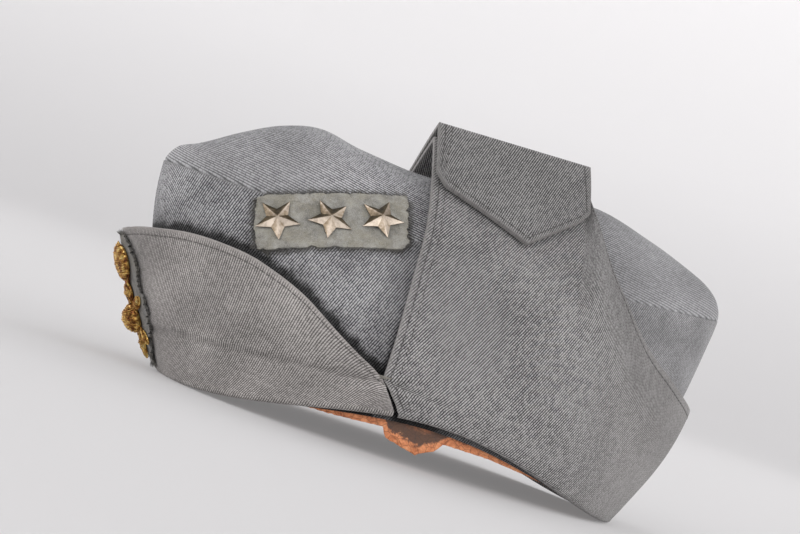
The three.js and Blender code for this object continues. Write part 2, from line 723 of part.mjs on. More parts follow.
// The frame's origin is at the middle of the cap's length and width.
const middle = new THREE.Box3().setFromObject(root, true).getCenter(vec());
root.children.forEach((mesh) => mesh.position.sub(vec(middle.x, middle.y, 0)));

export default root;
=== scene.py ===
"""Officer's side cap in grey wool twill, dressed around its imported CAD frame.

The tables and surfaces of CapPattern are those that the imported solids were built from, in
millimetres: -X is the front, -Y the wearer's left and +Z up. Every piece is a fine mesh over
one of those surfaces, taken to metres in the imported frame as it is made.
"""

import logging
import math
import random
from bisect import bisect_right
from dataclasses import dataclass
from enum import Enum, IntEnum
from functools import partial
from typing import Callable, Iterable, Sequence

import bmesh
import bpy
from mathutils import Matrix, Vector, noise


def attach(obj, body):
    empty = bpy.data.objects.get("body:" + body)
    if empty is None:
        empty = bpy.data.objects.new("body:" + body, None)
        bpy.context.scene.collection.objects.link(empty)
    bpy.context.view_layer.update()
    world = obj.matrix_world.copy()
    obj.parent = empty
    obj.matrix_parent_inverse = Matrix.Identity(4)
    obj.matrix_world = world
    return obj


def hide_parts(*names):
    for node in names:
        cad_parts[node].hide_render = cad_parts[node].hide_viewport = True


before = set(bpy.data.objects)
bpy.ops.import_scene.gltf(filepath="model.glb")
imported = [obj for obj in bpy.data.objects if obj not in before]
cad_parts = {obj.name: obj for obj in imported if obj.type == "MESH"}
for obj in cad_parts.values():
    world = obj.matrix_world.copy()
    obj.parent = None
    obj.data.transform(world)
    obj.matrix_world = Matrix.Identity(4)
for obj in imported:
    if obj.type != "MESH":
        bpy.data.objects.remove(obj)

log = logging.getLogger("side_cap")

METRE = 0.001
CENTRE = Vector((1.585, 0.0, 0.0))
HALF_GAP = 0.15
FAR_MM = 60.0
RUBBED_MM = 0.9
STITCH_MM = 3.2
BODY = "root"

Mesh = bmesh.types.BMesh
Material = bpy.types.Material
Color = tuple[float, float, float]
Surface = Callable[[float, float], Vector]
Line = list[tuple[Vector, Vector]]
Stops = Sequence[tuple[float, Color]]


class Side(IntEnum):
    """Which side of the cap a panel is on, as the sign of its Y."""

    LEFT = -1
    RIGHT = 1


class Border(Enum):
    """The four borders of a sheet's grid."""

    START = "first column"
    END = "last column"
    FOOT = "first row"
    TOP = "last row"


def mix(a: float, b: float, share: float) -> float:
    """Goes a share of the way from a to b."""
    return a + (b - a) * share


def in_frame(place: Vector) -> Vector:
    """Takes a place from the pattern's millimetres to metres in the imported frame."""
    return (place - CENTRE) * METRE


class Table:
    """A short table of values, read between its rows as a curve or as straight lines."""

    def __init__(self, *rows: tuple[float, float]) -> None:
        """Works out a slope for each row.

        Args:
            rows: The place and value of each row, in order of place.
        """
        self.places = [row[0] for row in rows]
        self.values = [row[1] for row in rows]
        last = len(rows) - 1
        self.slopes = []
        for i in range(len(rows)):
            low, high = max(i - 1, 0), min(i + 1, last)
            rise = self.values[high] - self.values[low]
            self.slopes.append(rise / (self.places[high] - self.places[low]))

    def _row(self, place: float) -> tuple[int, float, float]:
        """Finds the row before a place.

        Args:
            place: Where the table is read.

        Returns:
            The row's number, the width of its step, and the share of the step that is passed.
        """
        at = min(max(place, self.places[0]), self.places[-1])
        row = min(max(bisect_right(self.places, at) - 1, 0), len(self.places) - 2)
        span = self.places[row + 1] - self.places[row]
        return row, span, (at - self.places[row]) / span

    def smooth(self, place: float) -> float:
        """Reads the table as a smooth curve.

        Args:
            place: Where the table is read.

        Returns:
            The value there.
        """
        row, span, t = self._row(place)
        rest = 1 - t
        low, high = self.values[row], self.values[row + 1]
        ends = low * (1 + 2 * t) * rest * rest + high * (3 - 2 * t) * t * t
        return ends + span * t * rest * (self.slopes[row] * rest - self.slopes[row + 1] * t)

    def straight(self, place: float) -> float:
        """Reads the table with straight lines between its rows."""
        row, _, t = self._row(place)
        return mix(self.values[row], self.values[row + 1], t)


@dataclass(frozen=True)
class Oval:
    """An oval that the middle of the cloth follows, level with the floor."""

    centre: float
    half_length: float
    half_width: float

    def at(self, angle: float, side: int, z: float) -> Vector:
        """Gives a point of the oval, at an angle from 0 at the front to pi at the back."""
        y = side * max(self.half_width * math.sin(angle), HALF_GAP)
        return Vector((self.centre - self.half_length * math.cos(angle), y, z))

    def outward(self, angle: float, side: int) -> Vector:
        """Gives the level direction straight out from the oval, as a vector of length 1."""
        x = -self.half_width * math.cos(angle)
        return Vector((x, side * self.half_length * math.sin(angle), 0)).normalized()


def bezier(ends: Sequence[Vector], t: float) -> Vector:
    """Follows a cubic curve.

    Args:
        ends: Its four control points.
        t: The share of the way along it.

    Returns:
        The point there.
    """
    rest = 1 - t
    a, b, c, d = ends
    start = a * rest**3 + b * (3 * rest * rest * t)
    return start + c * (3 * rest * t * t) + d * t**3


@dataclass(frozen=True)
class RoofLayer:
    """How one neck flap lies over the ridge."""

    front_z: float
    rear_z: float
    roof_out: float
    roof_down: float


class Layer(Enum):
    """The lower or the upper of the two neck flaps where they cross over the ridge."""

    UNDER = RoofLayer(144.2, 148.6, 42.0, 31.0)
    OVER = RoofLayer(151.3, 155.7, 43.5, 32.5)


def columns(rows: Sequence[tuple[float, ...]]) -> list[Table]:
    """Splits rows of a place and several values into one table for each value."""
    return [Table(*[(row[0], row[k]) for row in rows]) for k in range(1, len(rows[0]))]


@dataclass(frozen=True)
class CapPattern:
    """The surfaces that the middle of every panel follows, in millimetres."""

    rim: Oval = Oval(8.5, 109.0, 79.0)
    hem: Oval = Oval(8.3, 114.0, 84.0)
    seam: Oval = Oval(5.0, 138.5, 44.0)
    front_edge: Oval = Oval(-2.0, 139.0, 85.0)
    arch_centre: float = 10.0
    arch_span: float = 120.0
    arch_rise: float = 21.7
    arch_power: float = 1.8
    arch_sunk: float = 0.8
    arch_flat: float = -0.15
    crown_lowest: float = 1.4
    crown_follow: float = 0.82
    seam_front: float = 93.0
    seam_rise: float = 15.0
    seam_power: float = 2.2
    crest_inset: float = 13.0
    turn_rows: int = 3
    front_hem_angle: float = 79.0
    front_edge_angle: float = 81.3
    front_swell: float = 1.2
    front_middle: float = 0.004
    neck_start: float = 80.3
    ridge_front: float = -18.0
    ridge_rear: float = 59.0
    ridge_share: float = 0.35
    swing_fade: float = 0.3
    patch_from: float = 46.6
    patch_to: float = 77.3
    patch_slant: float = 1.2
    flap_length: float = 65.0

    swell_rows = (
        (0.0, 17.0, 27.0, -1.0, 31.0),
        (1.0, 3.0, 31.0, 24.0, 21.0),
        (2.0, 13.0, 29.0, -1.0, 38.0),
    )
    crest = Table(
        (-133.5, 93), (-132, 97), (-129, 101), (-121, 105.3), (-104, 116.5), (-88, 125),
        (-70, 129.8), (-50, 127), (-20, 125.2), (20, 129), (66, 138.4), (100, 132.6),
        (127, 124.2), (137, 119), (142, 113.5), (143.5, 108),
    )
    fullness = Table((-134, 2.1), (-20, 2.1), (25, 1.6), (65, 1.6), (110, 2), (144, 2))
    turn_in = (
        Table((0, 3.3), (1, 1.5), (2, 0.4), (3, 0)),
        Table((0, 1.1), (1, 1.1), (2, 1.6), (3, 2.9)),
    )
    front_top = {
        Side.LEFT: Table(
            (0, 57.2), (20, 62.2), (34, 65.8), (45, 66), (52, 64), (62, 57), (71, 46), (82, 32.5)
        ),
        Side.RIGHT: Table(
            (0, 57.2), (20, 58.5), (34, 61), (45, 62), (52, 61), (62, 55.5), (71, 45.5), (82, 32.5)
        ),
    }
    rear_edge = columns((
        (0, 59, 0, 148.6, 42, 31, 7, 40),
        (0.14, 63.5, 20, 134, 36, 29, 7, 36),
        (0.3, 71, 35, 117.5, 26, 28, 7.5, 32),
        (0.45, 81.5, 46, 102.5, 14, 26, 8, 28),
        (0.6, 97, 52.5, 84.5, 6, 24, 9, 25),
        (0.76, 117, 45.5, 72.5, 1.5, 22, 11, 22),
        (0.9, 136, 25, 63.5, -1, 20, 12.5, 19),
        (1, 144.6, 0, 58.8, -1.5, 19, 13, 18),
    ))
    swing = Table(
        (20, 0), (24, 2.2), (28.5, 6), (33.4, 11.2), (38.7, 11.4), (50.5, 10.4),
        (67, 8.5), (84, 5.8), (99, 2.8), (113, 1.1), (131, 0.2), (152, 0),
    )
    tab_end = Table((-18, 0.8), (-13, 0.752), (28.2, 0.64), (54, 0.77), (59, 0.81))
    under_end = Table((-18, 0.8), (20.5, 0.7), (59, 0.8))

    def arch(self, x: float) -> float:
        """Gives the height of the lower edge, which lifts over the ears.

        Args:
            x: The place along the cap.

        Returns:
            The height there.
        """
        turn = min(abs(x - self.arch_centre) / self.arch_span, 1) * math.pi / 2
        lift = self.arch_rise * max(math.cos(turn), 0) ** self.arch_power
        return max(lift - self.arch_sunk, self.arch_flat)

    def seam_height(self, x: float) -> float:
        """Gives the height of the seam between the side and top panels."""
        share = (x - (self.seam.centre - self.seam.half_length)) / (2 * self.seam.half_length)
        return self.seam_front + self.seam_rise * max(share, 0) ** self.seam_power

    def crown_side(self, side: int, angle: float, share: float) -> Vector:
        """Gives a point of a side panel of the crown.

        Args:
            side: The side of the cap.
            angle: From 0 at the front to pi at the back.
            share: From 0 at the lower edge to 1 at the seam.

        Returns:
            The point, in millimetres.
        """
        low = self.rim.at(angle, side, 0)
        low.z = self.crown_lowest + self.crown_follow * max(self.arch(low.x), 0)
        high = self.seam.at(angle, side, 0)
        high.z = self.seam_height(high.x)
        sideways = math.sin(angle) ** 2
        end = self.swell_rows[0 if angle < math.pi / 2 else 2]
        out_low, up_low, out_high, down_high = (
            mix(end[k], self.swell_rows[1][k], sideways) for k in range(1, 5)
        )
        out = self.rim.outward(angle, side)
        lower = low + out * out_low + Vector((0, 0, up_low))
        upper = high + out * out_high - Vector((0, 0, down_high))
        return bezier((low, lower, upper, high), share)

    def crown_top(self, side: int, angle: float, share: float) -> Vector:
        """Gives a point of the top panel.

        Args:
            side: The side of the cap.
            angle: From 0 at the front to pi at the back.
            share: From 0 at the seam to 1 at the crest.

        Returns:
            The point, in millimetres.
        """
        oval = self.seam
        x = oval.centre - (oval.half_length - self.crest_inset * share) * math.cos(angle)
        reach = 1 - ((x - oval.centre) / oval.half_length) ** 2
        half_width = oval.half_width * math.sqrt(max(reach, 0))
        y = oval.half_width * math.sin(angle) * (1 - share)
        across = min(y / half_width, 1) if half_width > 0 else 1
        foot = self.seam_height(x)
        rise = (self.crest.smooth(x) - foot) * (1 - across ** self.fullness.smooth(x))
        return Vector((x, side * y, foot + rise))

    def crown_at(self, side: int, angle: float, above: float) -> Vector:
        """Walks up or down the crown from the seam.

        Args:
            side: The side of the cap.
            angle: From 0 at the front to pi at the back.
            above: The distance above the seam, negative below it.

        Returns:
            The point, in millimetres.
        """
        surface = self.crown_side if above < 0 else self.crown_top
        start = 1 if above < 0 else 0
        steps = 24
        before = surface(side, angle, start)
        left = abs(above)
        for i in range(1, steps + 1):
            after = surface(side, angle, abs(start - i / steps))
            length = (after - before).length
            if length >= left:
                return before.lerp(after, left / length)
            left -= length
            before = after
        return before

    def turned_in(self, angle: float, side: int, row: float) -> Vector:
        """Gives a point of a flap's lower edge, which is turned in under it.

        Args:
            angle: From 0 at the front to pi at the back.
            side: The side of the cap.
            row: From 0 inside to turn_rows at the fold.

        Returns:
            The point, in millimetres.
        """
        inside, up = (table.smooth(row) for table in self.turn_in)
        fold = self.hem.at(angle, side, 0)
        place = fold - self.hem.outward(angle, side) * inside
        place.z = self.arch(fold.x) + up
        return place

    def front_angle(self, turn: float) -> tuple[Side, float]:
        """Gives the side and the angle on the hem at a turn from -1 at the left end to 1."""
        side = Side.LEFT if turn < 0 else Side.RIGHT
        return side, math.radians(self.front_hem_angle * abs(turn))

    def front_flap(self, turn: float, share: float) -> Vector:
        """Gives a point of the front flap.

        Args:
            turn: From -1 at its left end to 1 at its right end.
            share: From 0 at the fold to 1 at the top edge.

        Returns:
            The point, in millimetres.
        """
        side, angle = self.front_angle(turn)
        low = self.turned_in(angle, side, self.turn_rows)
        edge = self.front_edge_angle * abs(turn)
        high = self.front_edge.at(math.radians(edge), side, self.front_top[side].smooth(edge))
        if abs(turn) < self.front_middle:
            low.y = high.y = 0
        swell = self.front_swell * math.sin(math.pi * share)
        return low.lerp(high, share) + self.hem.outward(angle, side) * swell

    def neck_angle(self, around: float) -> float:
        """Gives the angle on the hem at a share of the neck flap's length."""
        return mix(math.radians(self.neck_start), math.pi, around)

    def neck_flap(self, layer: Layer, side: int, around: float, share: float) -> Vector:
        """Gives a point of a neck flap.

        Args:
            layer: The lower or the upper flap.
            side: The side of the cap.
            around: From 0 at its front edge to 1 at the nape.
            share: From 0 at the fold to 1 at the ridge or the rear edge.

        Returns:
            The point, in millimetres.
        """
        roof = layer.value
        angle = self.neck_angle(around)
        out = self.hem.outward(angle, side)
        on_ridge = min(around / self.ridge_share, 1)
        behind = max((around - self.ridge_share) / (1 - self.ridge_share), 0)
        x, y, z, edge_out, edge_down, out_low, up_low = (t.smooth(behind) for t in self.rear_edge)
        first = [table.values[0] for table in self.rear_edge]
        near_ridge = max(1 - behind / self.rear_edge[0].places[1], 0)
        low = self.turned_in(angle, side, self.turn_rows)
        lower = low + out * out_low + Vector((0, 0, up_low))
        high = Vector((x + (1 - on_ridge) * (self.ridge_front - self.ridge_rear), side * y, z))
        high.z += (roof.rear_z - first[2]) * near_ridge
        high.z += (1 - on_ridge) * (roof.front_z - roof.rear_z)
        sideways = Vector((0, side, 0)).lerp(out, min(behind * 1.6, 1)).normalized()
        upper = high + sideways * (edge_out + (roof.roof_out - first[3]) * near_ridge)
        upper.z -= edge_down + (roof.roof_down - first[4]) * near_ridge
        place = bezier((low, lower, upper, high), share)
        place.x -= self.swing.smooth(place.z) * max(1 - around / self.swing_fade, 0) ** 2
        return place

    def roof_end(self, layer: Layer, side: int, along: float, down: float) -> Vector:
        """Gives a point of the end of a neck flap that is folded over the ridge.

        Args:
            layer: The lower or the upper flap.
            side: The side that the flap comes from.
            along: From 0 at the front of the ridge to 1 at its rear.
            down: From 0 on the ridge to 1 at the end's edge.

        Returns:
            The point, in millimetres, on the other side of the cap.
        """
        end = self.tab_end if layer is Layer.OVER else self.under_end
        stop = end.straight(mix(self.ridge_front, self.ridge_rear, along))
        return self.neck_flap(layer, -side, along * self.ridge_share, 1 - down * (1 - stop))

    def patch(self, share: float, up: float) -> Vector:
        """Gives a point of the crown under the felt patch.

        Args:
            share: From 0 at the patch's front to 1 at its rear.
            up: From -0.5 at its lower edge to 0.5 at its upper edge.

        Returns:
            The point, in millimetres.
        """
        angle = mix(self.patch_from, self.patch_to, share) - 2 * up * self.patch_slant
        above = mix(-16.2, 6.6, share) + up * mix(26.0, 31.0, share)
        return self.crown_at(Side.LEFT, math.radians(angle), above)

    def on_front(self, across: float, up: float, lift: float) -> Vector:
        """Gives a place in front of the front flap.

        Args:
            across: The distance from the middle of the flap.
            up: The distance up from its fold.
            lift: The distance out from the middle of its cloth.

        Returns:
            The place, in millimetres.
        """
        length = self.hem.half_width * math.radians(self.front_hem_angle)
        turn, share, step = across / length, up / self.flap_length, 0.006
        along = self.front_flap(turn + step, share) - self.front_flap(turn - step, share)
        rise = self.front_flap(turn, share + step) - self.front_flap(turn, share - step)
        normal = along.cross(rise).normalized()
        if normal.x > 0:
            normal.negate()
        return self.front_flap(turn, share) + normal * lift


@dataclass(frozen=True)
class Dent:
    """A soft swelling in a panel, or a hollow where its depth is negative.

    x and z are its middle seen from the side, long and short its reach, lean the angle of its
    long axis from level in degrees, and depth how far it stands out.
    """

    x: float
    z: float
    long: float
    short: float
    lean: float
    depth: float

    def at(self, place: Vector) -> float:
        """Gives how far the dent lifts the cloth at a place.

        Args:
            place: A point of the panel.

        Returns:
            The distance along the cloth's normal, in millimetres.
        """
        turn = math.radians(self.lean)
        dx, dz = place.x - self.x, place.z - self.z
        along = (dx * math.cos(turn) + dz * math.sin(turn)) / self.long
        across = (dz * math.cos(turn) - dx * math.sin(turn)) / self.short
        return self.depth * math.exp(-along * along - across * across)


class ClothSheet:
    """A fine grid over one surface of the pattern, with its coordinates on the flat cloth.

    Column i runs round the cap and row j up the panel. Its marks are numbers that its material
    reads: tone, how light the cloth is, which carries painted shade as well as uneven tone,
    wear, how rubbed it is, and edge_mm, the distance from a stitched edge.
    """

    def __init__(self, surface: Surface, column_count: int, row_count: int) -> None:
        """Lays the grid out.

        Args:
            surface: Gives a point for a share of the way round and a share of the way up.
            column_count: The number of steps round.
            row_count: The number of steps up.
        """
        self.column_count = column_count
        self.row_count = row_count
        self.points = [
            [surface(i / column_count, j / row_count) for j in range(row_count + 1)]
            for i in range(column_count + 1)
        ]
        marks = {"tone": 1.0, "wear": 0.0, "edge_mm": FAR_MM}
        self.values = {name: self._filled(value) for name, value in marks.items()}
        self.cloth = [[Vector((0, 0)) for _ in row] for row in self.points]
        self.normals: list[list[Vector]] = []
        self.turned = False
        self.find_normals()

    def _filled(self, value: float) -> list[list[float]]:
        """Makes one number for each point of the grid."""
        return [[value] * (self.row_count + 1) for _ in range(self.column_count + 1)]

    def find_normals(self) -> None:
        """Works out the normal of every point, pointing away from the inside of the cap."""
        last_i, last_j = self.column_count, self.row_count
        points = self.points
        outward = 0.0
        self.normals = []
        for i in range(last_i + 1):
            line = []
            for j in range(last_j + 1):
                along = points[min(i + 1, last_i)][j] - points[max(i - 1, 0)][j]
                rise = points[i][min(j + 1, last_j)] - points[i][max(j - 1, 0)]
                normal = along.cross(rise).normalized()
                place = points[i][j]
                inside = Vector((min(max(place.x, -80), 90), 0, 40))
                outward += normal.dot(place - inside)
                line.append(normal)
            self.normals.append(line)
        self.turned = outward < 0
        if self.turned:
            for line in self.normals:
                for normal in line:
                    normal.negate()

    def press(
        self, dents: Iterable[Dent], wave: float, length: float, hold: float, hold_top: float
    ) -> None:
        """Gives the sheet its dents and a slight unevenness.

        Args:
            dents: The dents to press into it.
            wave: How uneven it is, in millimetres.
            length: How long its waves are.
            hold: The distance from the foot over which it is held still.
            hold_top: The distance from the top over which it is held still.
        """
        dents = list(dents)
        for i, column in enumerate(self.points):
            steps = [(b - a).length for a, b in zip(column, column[1:])]
            walked, left = 0.0, sum(steps)
            pressed = []
            for place, normal, step in zip(column, self.normals[i], [*steps, 0.0]):
                free = min(walked / hold, left / hold_top if hold_top else 1.0, 1.0)
                lift = wave * noise.noise(place / length) + sum(d.at(place) for d in dents)
                pressed.append(place + normal * (lift * free * free))
                walked, left = walked + step, left - step
            self.points[i] = pressed
        self.find_normals()

    def flatten(
        self, meridian: float, lean: Table | float, facing: int, slant: float = 0.0, rise: int = 1
    ) -> None:
        """Works out where each point lies on the flat cloth, turned to the twill's lines.

        Args:
            meridian: The X, at the floor, of the line where the cloth's directions are exact.
            lean: The angle of the lines in degrees, or a table of it against the height.
            facing: 1 where the columns run to the right seen from outside, and else -1.
            slant: How far that line moves in X for each millimetre up.
            rise: 1 where the rows run up, and -1 where they run down.
        """
        last_i = self.column_count
        rounds = self._filled(0.0)
        z, before, moved = self.points[0][0].z, None, 0.0
        for j in range(self.row_count + 1):
            length, crossing, slope = 0.0, 0.0, 1.0
            here = meridian + slant * z
            for i in range(1, last_i + 1):
                a, b = self.points[i - 1][j], self.points[i][j]
                step = (b - a).xy.length
                if (a.x - here) * (b.x - here) <= 0 and a.x != b.x and not crossing:
                    run = b.x - a.x
                    crossing = length + step * (here - a.x) / run
                    z, slope = a.z, step / run
                length += step
                rounds[i][j] = length
            moved += 0.0 if before is None else (here - before) * slope
            before = here
            for i in range(last_i + 1):
                rounds[i][j] = (rounds[i][j] - crossing + moved) * facing
        for i in range(last_i + 1):
            height = self.points[i][0].z
            for j in range(self.row_count + 1):
                if j:
                    ahead = self.points[min(i + 1, last_i)][j]
                    level = (ahead - self.points[max(i - 1, 0)][j]).xy
                    level = level.normalized() if level.length > 1e-6 else Vector((1, 0))
                    step = self.points[i][j] - self.points[i][j - 1]
                    height += rise * math.hypot(step.z, step.x * level.y - step.y * level.x)
                self.cloth[i][j] = self._turned(rounds[i][j], height, lean)

    def _turned(self, across: float, height: float, lean: Table | float) -> Vector:
        """Turns a place on the flat cloth so that the twill's lines run along its second axis.

        Args:
            across: The distance round.
            height: The distance up.
            lean: The angle of the lines, or a table of it against the height.

        Returns:
            The distance across the lines and along them.
        """
        if isinstance(lean, Table):
            steps = 8
            middle = 0.5 * height / steps
            slopes = (lean.smooth(middle + k * height / steps) for k in range(steps))
            shift = sum(1 / math.tan(math.radians(a)) for a in slopes) * height / steps
            return Vector((across - shift, height))
        turn = math.radians(lean)
        first = across * math.sin(turn) - height * math.cos(turn)
        return Vector((first, across * math.cos(turn) + height * math.sin(turn)))

    def _walk(self, border: Border, index: int) -> list[tuple[int, int]]:
        """Lists the grid's points from a border inwards.

        Args:
            border: Where the walk starts.
            index: The row or the column that it follows.

        Returns:
            The column and row of each point.
        """
        if border is Border.START:
            return [(i, index) for i in range(self.column_count + 1)]
        if border is Border.END:
            return [(i, index) for i in range(self.column_count, -1, -1)]
        if border is Border.FOOT:
            return [(index, j) for j in range(self.row_count + 1)]
        return [(index, j) for j in range(self.row_count, -1, -1)]

    def _borders(self, border: Border, part: tuple[float, float]) -> range:
        """Lists the rows or columns that meet a part of a border."""
        along_rows = border in (Border.START, Border.END)
        count = self.row_count if along_rows else self.column_count
        return range(round(part[0] * count), round(part[1] * count) + 1)

    def mark_border(
        self, border: Border, part: tuple[float, float] = (0.0, 1.0), stitched: bool = True
    ) -> None:
        """Marks how far each point is from a border, and rubs the cloth along it.

        Args:
            border: The border.
            part: The part of it that is a free edge.
            stitched: Whether it has a row of stitches.
        """
        for index in self._borders(border, part):
            length = 0.0
            before = None
            for i, j in self._walk(border, index):
                place = self.points[i][j]
                if before is not None:
                    length += (place - before).length
                before = place
                if length > FAR_MM:
                    break
                edge = self.values["edge_mm"][i]
                edge[j] = min(edge[j], length) if stitched else edge[j]
                wear = self.values["wear"][i]
                wear[j] = max(wear[j], math.exp(-length / RUBBED_MM))

    def set_tone(self, tone: Callable[[Vector], float]) -> None:
        """Makes the cloth lighter or darker at each place.

        Args:
            tone: Gives what the lightness of a point is multiplied by.
        """
        for i, column in enumerate(self.points):
            for j, place in enumerate(column):
                self.values["tone"][i][j] *= tone(place)

    def smudge(self, amount: float, length: float) -> None:
        """Makes the cloth unevenly light, by an amount and with clouds of a length."""
        self.set_tone(lambda place: 1 + amount * noise.noise(place / length))

    def rub(self, share: Table) -> None:
        """Rubs the cloth by a share that the table gives for each place along the cap."""
        for wear, column in zip(self.values["wear"], self.points):
            for j, place in enumerate(column):
                wear[j] = max(wear[j], share.straight(place.x))

    def line(self, border: Border, inset: float, part: tuple[float, float] = (0.0, 1.0)) -> Line:
        """Follows a border at a distance inside it.

        Args:
            border: The border.
            inset: The distance from it.
            part: The part of it to follow.

        Returns:
            The points and the normals there.
        """
        found = []
        for index in self._borders(border, part):
            length = 0.0
            walk = self._walk(border, index)
            for (i, j), (k, m) in zip(walk, walk[1:]):
                a, b = self.points[i][j], self.points[k][m]
                step = (b - a).length
                if step > 0 and length + step >= inset:
                    share = (inset - length) / step
                    normal = self.normals[i][j].lerp(self.normals[k][m], share)
                    found.append((a.lerp(b, share), normal.normalized()))
                    break
                length += step
        return found

    def add_to(self, bm: Mesh) -> None:
        """Adds the sheet to a mesh, with its cloth coordinates and marks.

        Args:
            bm: The mesh.
        """
        layer = bm.loops.layers.uv.get("cloth") or bm.loops.layers.uv.new("cloth")
        marks = {
            name: bm.verts.layers.float.get(name) or bm.verts.layers.float.new(name)
            for name in self.values
        }
        made = bmesh.ops.create_grid(
            bm, x_segments=self.column_count, y_segments=self.row_count, size=0.5
        )
        faces = set()
        for n, vert in enumerate(made["verts"]):
            j, i = divmod(n, self.column_count + 1)
            vert.co = in_frame(self.points[i][j])
            for name, values in self.values.items():
                vert[marks[name]] = values[i][j]
            for loop in vert.link_loops:
                loop[layer].uv = self.cloth[i][j]
            faces.update(vert.link_faces)
        if self.turned:
            bmesh.ops.reverse_faces(bm, faces=list(faces))


@dataclass(frozen=True)
class Wall:
    """The thickness of a panel and how round its rim is.

    A wall with an own side stays on that side of the cap's middle, from own_from rearwards.
    """

    thickness: float
    rim: float
    own_side: int = 0
    own_from: float = -1000.0

    def build(self, *sheets: ClothSheet) -> Mesh:
        """Gives open sheets their thickness and rounds their rims.

        Args:
            sheets: The sheets, which lie in the middle of the wall.

        Returns:
            The closed wall.
        """
        bm = bmesh.new()
        for sheet in sheets:
            sheet.add_to(bm)
        bmesh.ops.remove_doubles(bm, verts=bm.verts[:], dist=0.01 * METRE)
        bm.normal_update()
        for vert in bm.verts:
            vert.co += vert.normal * (self.thickness / 2 * METRE)
        bmesh.ops.solidify(bm, geom=bm.faces[:], thickness=self.thickness * METRE)
        for vert in bm.verts:
            vert.co.z = max(vert.co.z, 0.0)
            if self.own_side and vert.co.x > self.own_from * METRE:
                y = max(self.own_side * vert.co.y, HALF_GAP * METRE)
                vert.co.y = self.own_side * y
        bmesh.ops.recalc_face_normals(bm, faces=bm.faces[:])
        corner = math.radians(62)
        rims = [e for e in bm.edges if e.is_manifold and e.calc_face_angle() > corner]
        bmesh.ops.bevel(
            bm, geom=rims, offset=self.rim * METRE, offset_type="OFFSET", segments=2,
            profile=0.5, affect="EDGES", material=-1, clamp_overlap=True,
        )
        return bm


def placed(
    name: str, bm: Mesh, finish: Material, smooth: bool = True
) -> bpy.types.Object:
    """Makes a mesh an object of the scene.

    Args:
        name: The object's name.
        bm: Its mesh, which is freed.
        finish: Its material.
        smooth: Whether its faces run smoothly into each other.

    Returns:
        The object.
    """
    for face in bm.faces:
        face.smooth = smooth
    mesh = bpy.data.meshes.new(name)
    bm.to_mesh(mesh)
    bm.free()
    mesh.materials.append(finish)
    item = bpy.data.objects.new(name, mesh)
    bpy.context.scene.collection.objects.link(item)
    return item


def finished(
    name: str,
    bm: Mesh,
    finish: Material,
    nodes: Sequence[str] = (),
    smooth: bool = True,
) -> None:
    """Makes a mesh a piece that rides on the cap.

    Args:
        name: The piece's name.
        bm: Its mesh, which is freed.
        finish: Its material.
        nodes: The CAD nodes that it stands for.
        smooth: Whether its faces run smoothly into each other.
    """
    piece = placed(name, bm, finish, smooth)
    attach(piece, BODY)
    if nodes:
        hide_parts(*nodes)
    log.info("%s: %d faces", name, len(piece.data.polygons))


class Stamp:
    """A small mesh that is repeated many times in one piece."""

    def __init__(self, bm: Mesh) -> None:
        """Keeps the small mesh.

        Args:
            bm: Its mesh, which is freed.
        """
        self.mesh = bpy.data.meshes.new("stamp")
        bmesh.ops.recalc_face_normals(bm, faces=bm.faces[:])
        bm.to_mesh(self.mesh)
        bm.free()

    def press(self, bm: Mesh, place: Matrix) -> None:
        """Adds one copy to a mesh.

        Args:
            bm: The mesh.
            place: Where the copy goes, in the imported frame.
        """
        copy = self.mesh.copy()
        copy.transform(place)
        bm.from_mesh(copy)
        bpy.data.meshes.remove(copy)


def basis(along: Vector, out: Vector, origin: Vector, scale: Vector) -> Matrix:
    """Makes the matrix that lays a small mesh on a surface.

    Args:
        along: Where its X goes.
        out: The surface's normal, where its Z goes as nearly as it can.
        origin: Its middle.
        scale: Its size along its own axes.

    Returns:
        The matrix.
    """
    first = along.normalized()
    second = out.cross(first).normalized()
    third = first.cross(second)
    turn = Matrix((first, second, third)).transposed().to_4x4()
    return Matrix.Translation(origin) @ turn @ Matrix.Diagonal((*scale, 1))


@dataclass(frozen=True)
class Stitching:
    """A row of machine stitches."""

    pitch: float = 2.9
    length: float = 2.2
    radius: float = 0.2

    def stamp(self) -> Stamp:
        """Makes one stitch, a short length of thread with its ends tucked in."""
        bm = bmesh.new()
        bmesh.ops.create_uvsphere(bm, u_segments=8, v_segments=5, radius=1)
        turn = Matrix.Rotation(math.pi / 2, 4, "Y")
        bmesh.ops.transform(bm, matrix=turn, verts=bm.verts[:])
        return Stamp(bm)

    def sew(self, bm: Mesh, line: Line, lift: float) -> None:
        """Sews a row of stitches along a line.

        Args:
            bm: The mesh that the stitches go into.
            line: The points and normals that the row follows.
            lift: The distance of the cloth's face from the line.
        """
        stamp = self.stamp()
        size = Vector((self.length / 2, self.radius, self.radius * 0.8)) * METRE
        walked, due = 0.0, self.pitch / 2
        for (a, normal), (b, _) in zip(line, line[1:]):
            step = (b - a).length
            if step < 1e-6 or step > 20:
                continue
            while due <= walked + step:
                place = a.lerp(b, (due - walked) / step) + normal * lift
                stamp.press(bm, basis(b - a, normal, in_frame(place), size))
                due += self.pitch
            walked += step


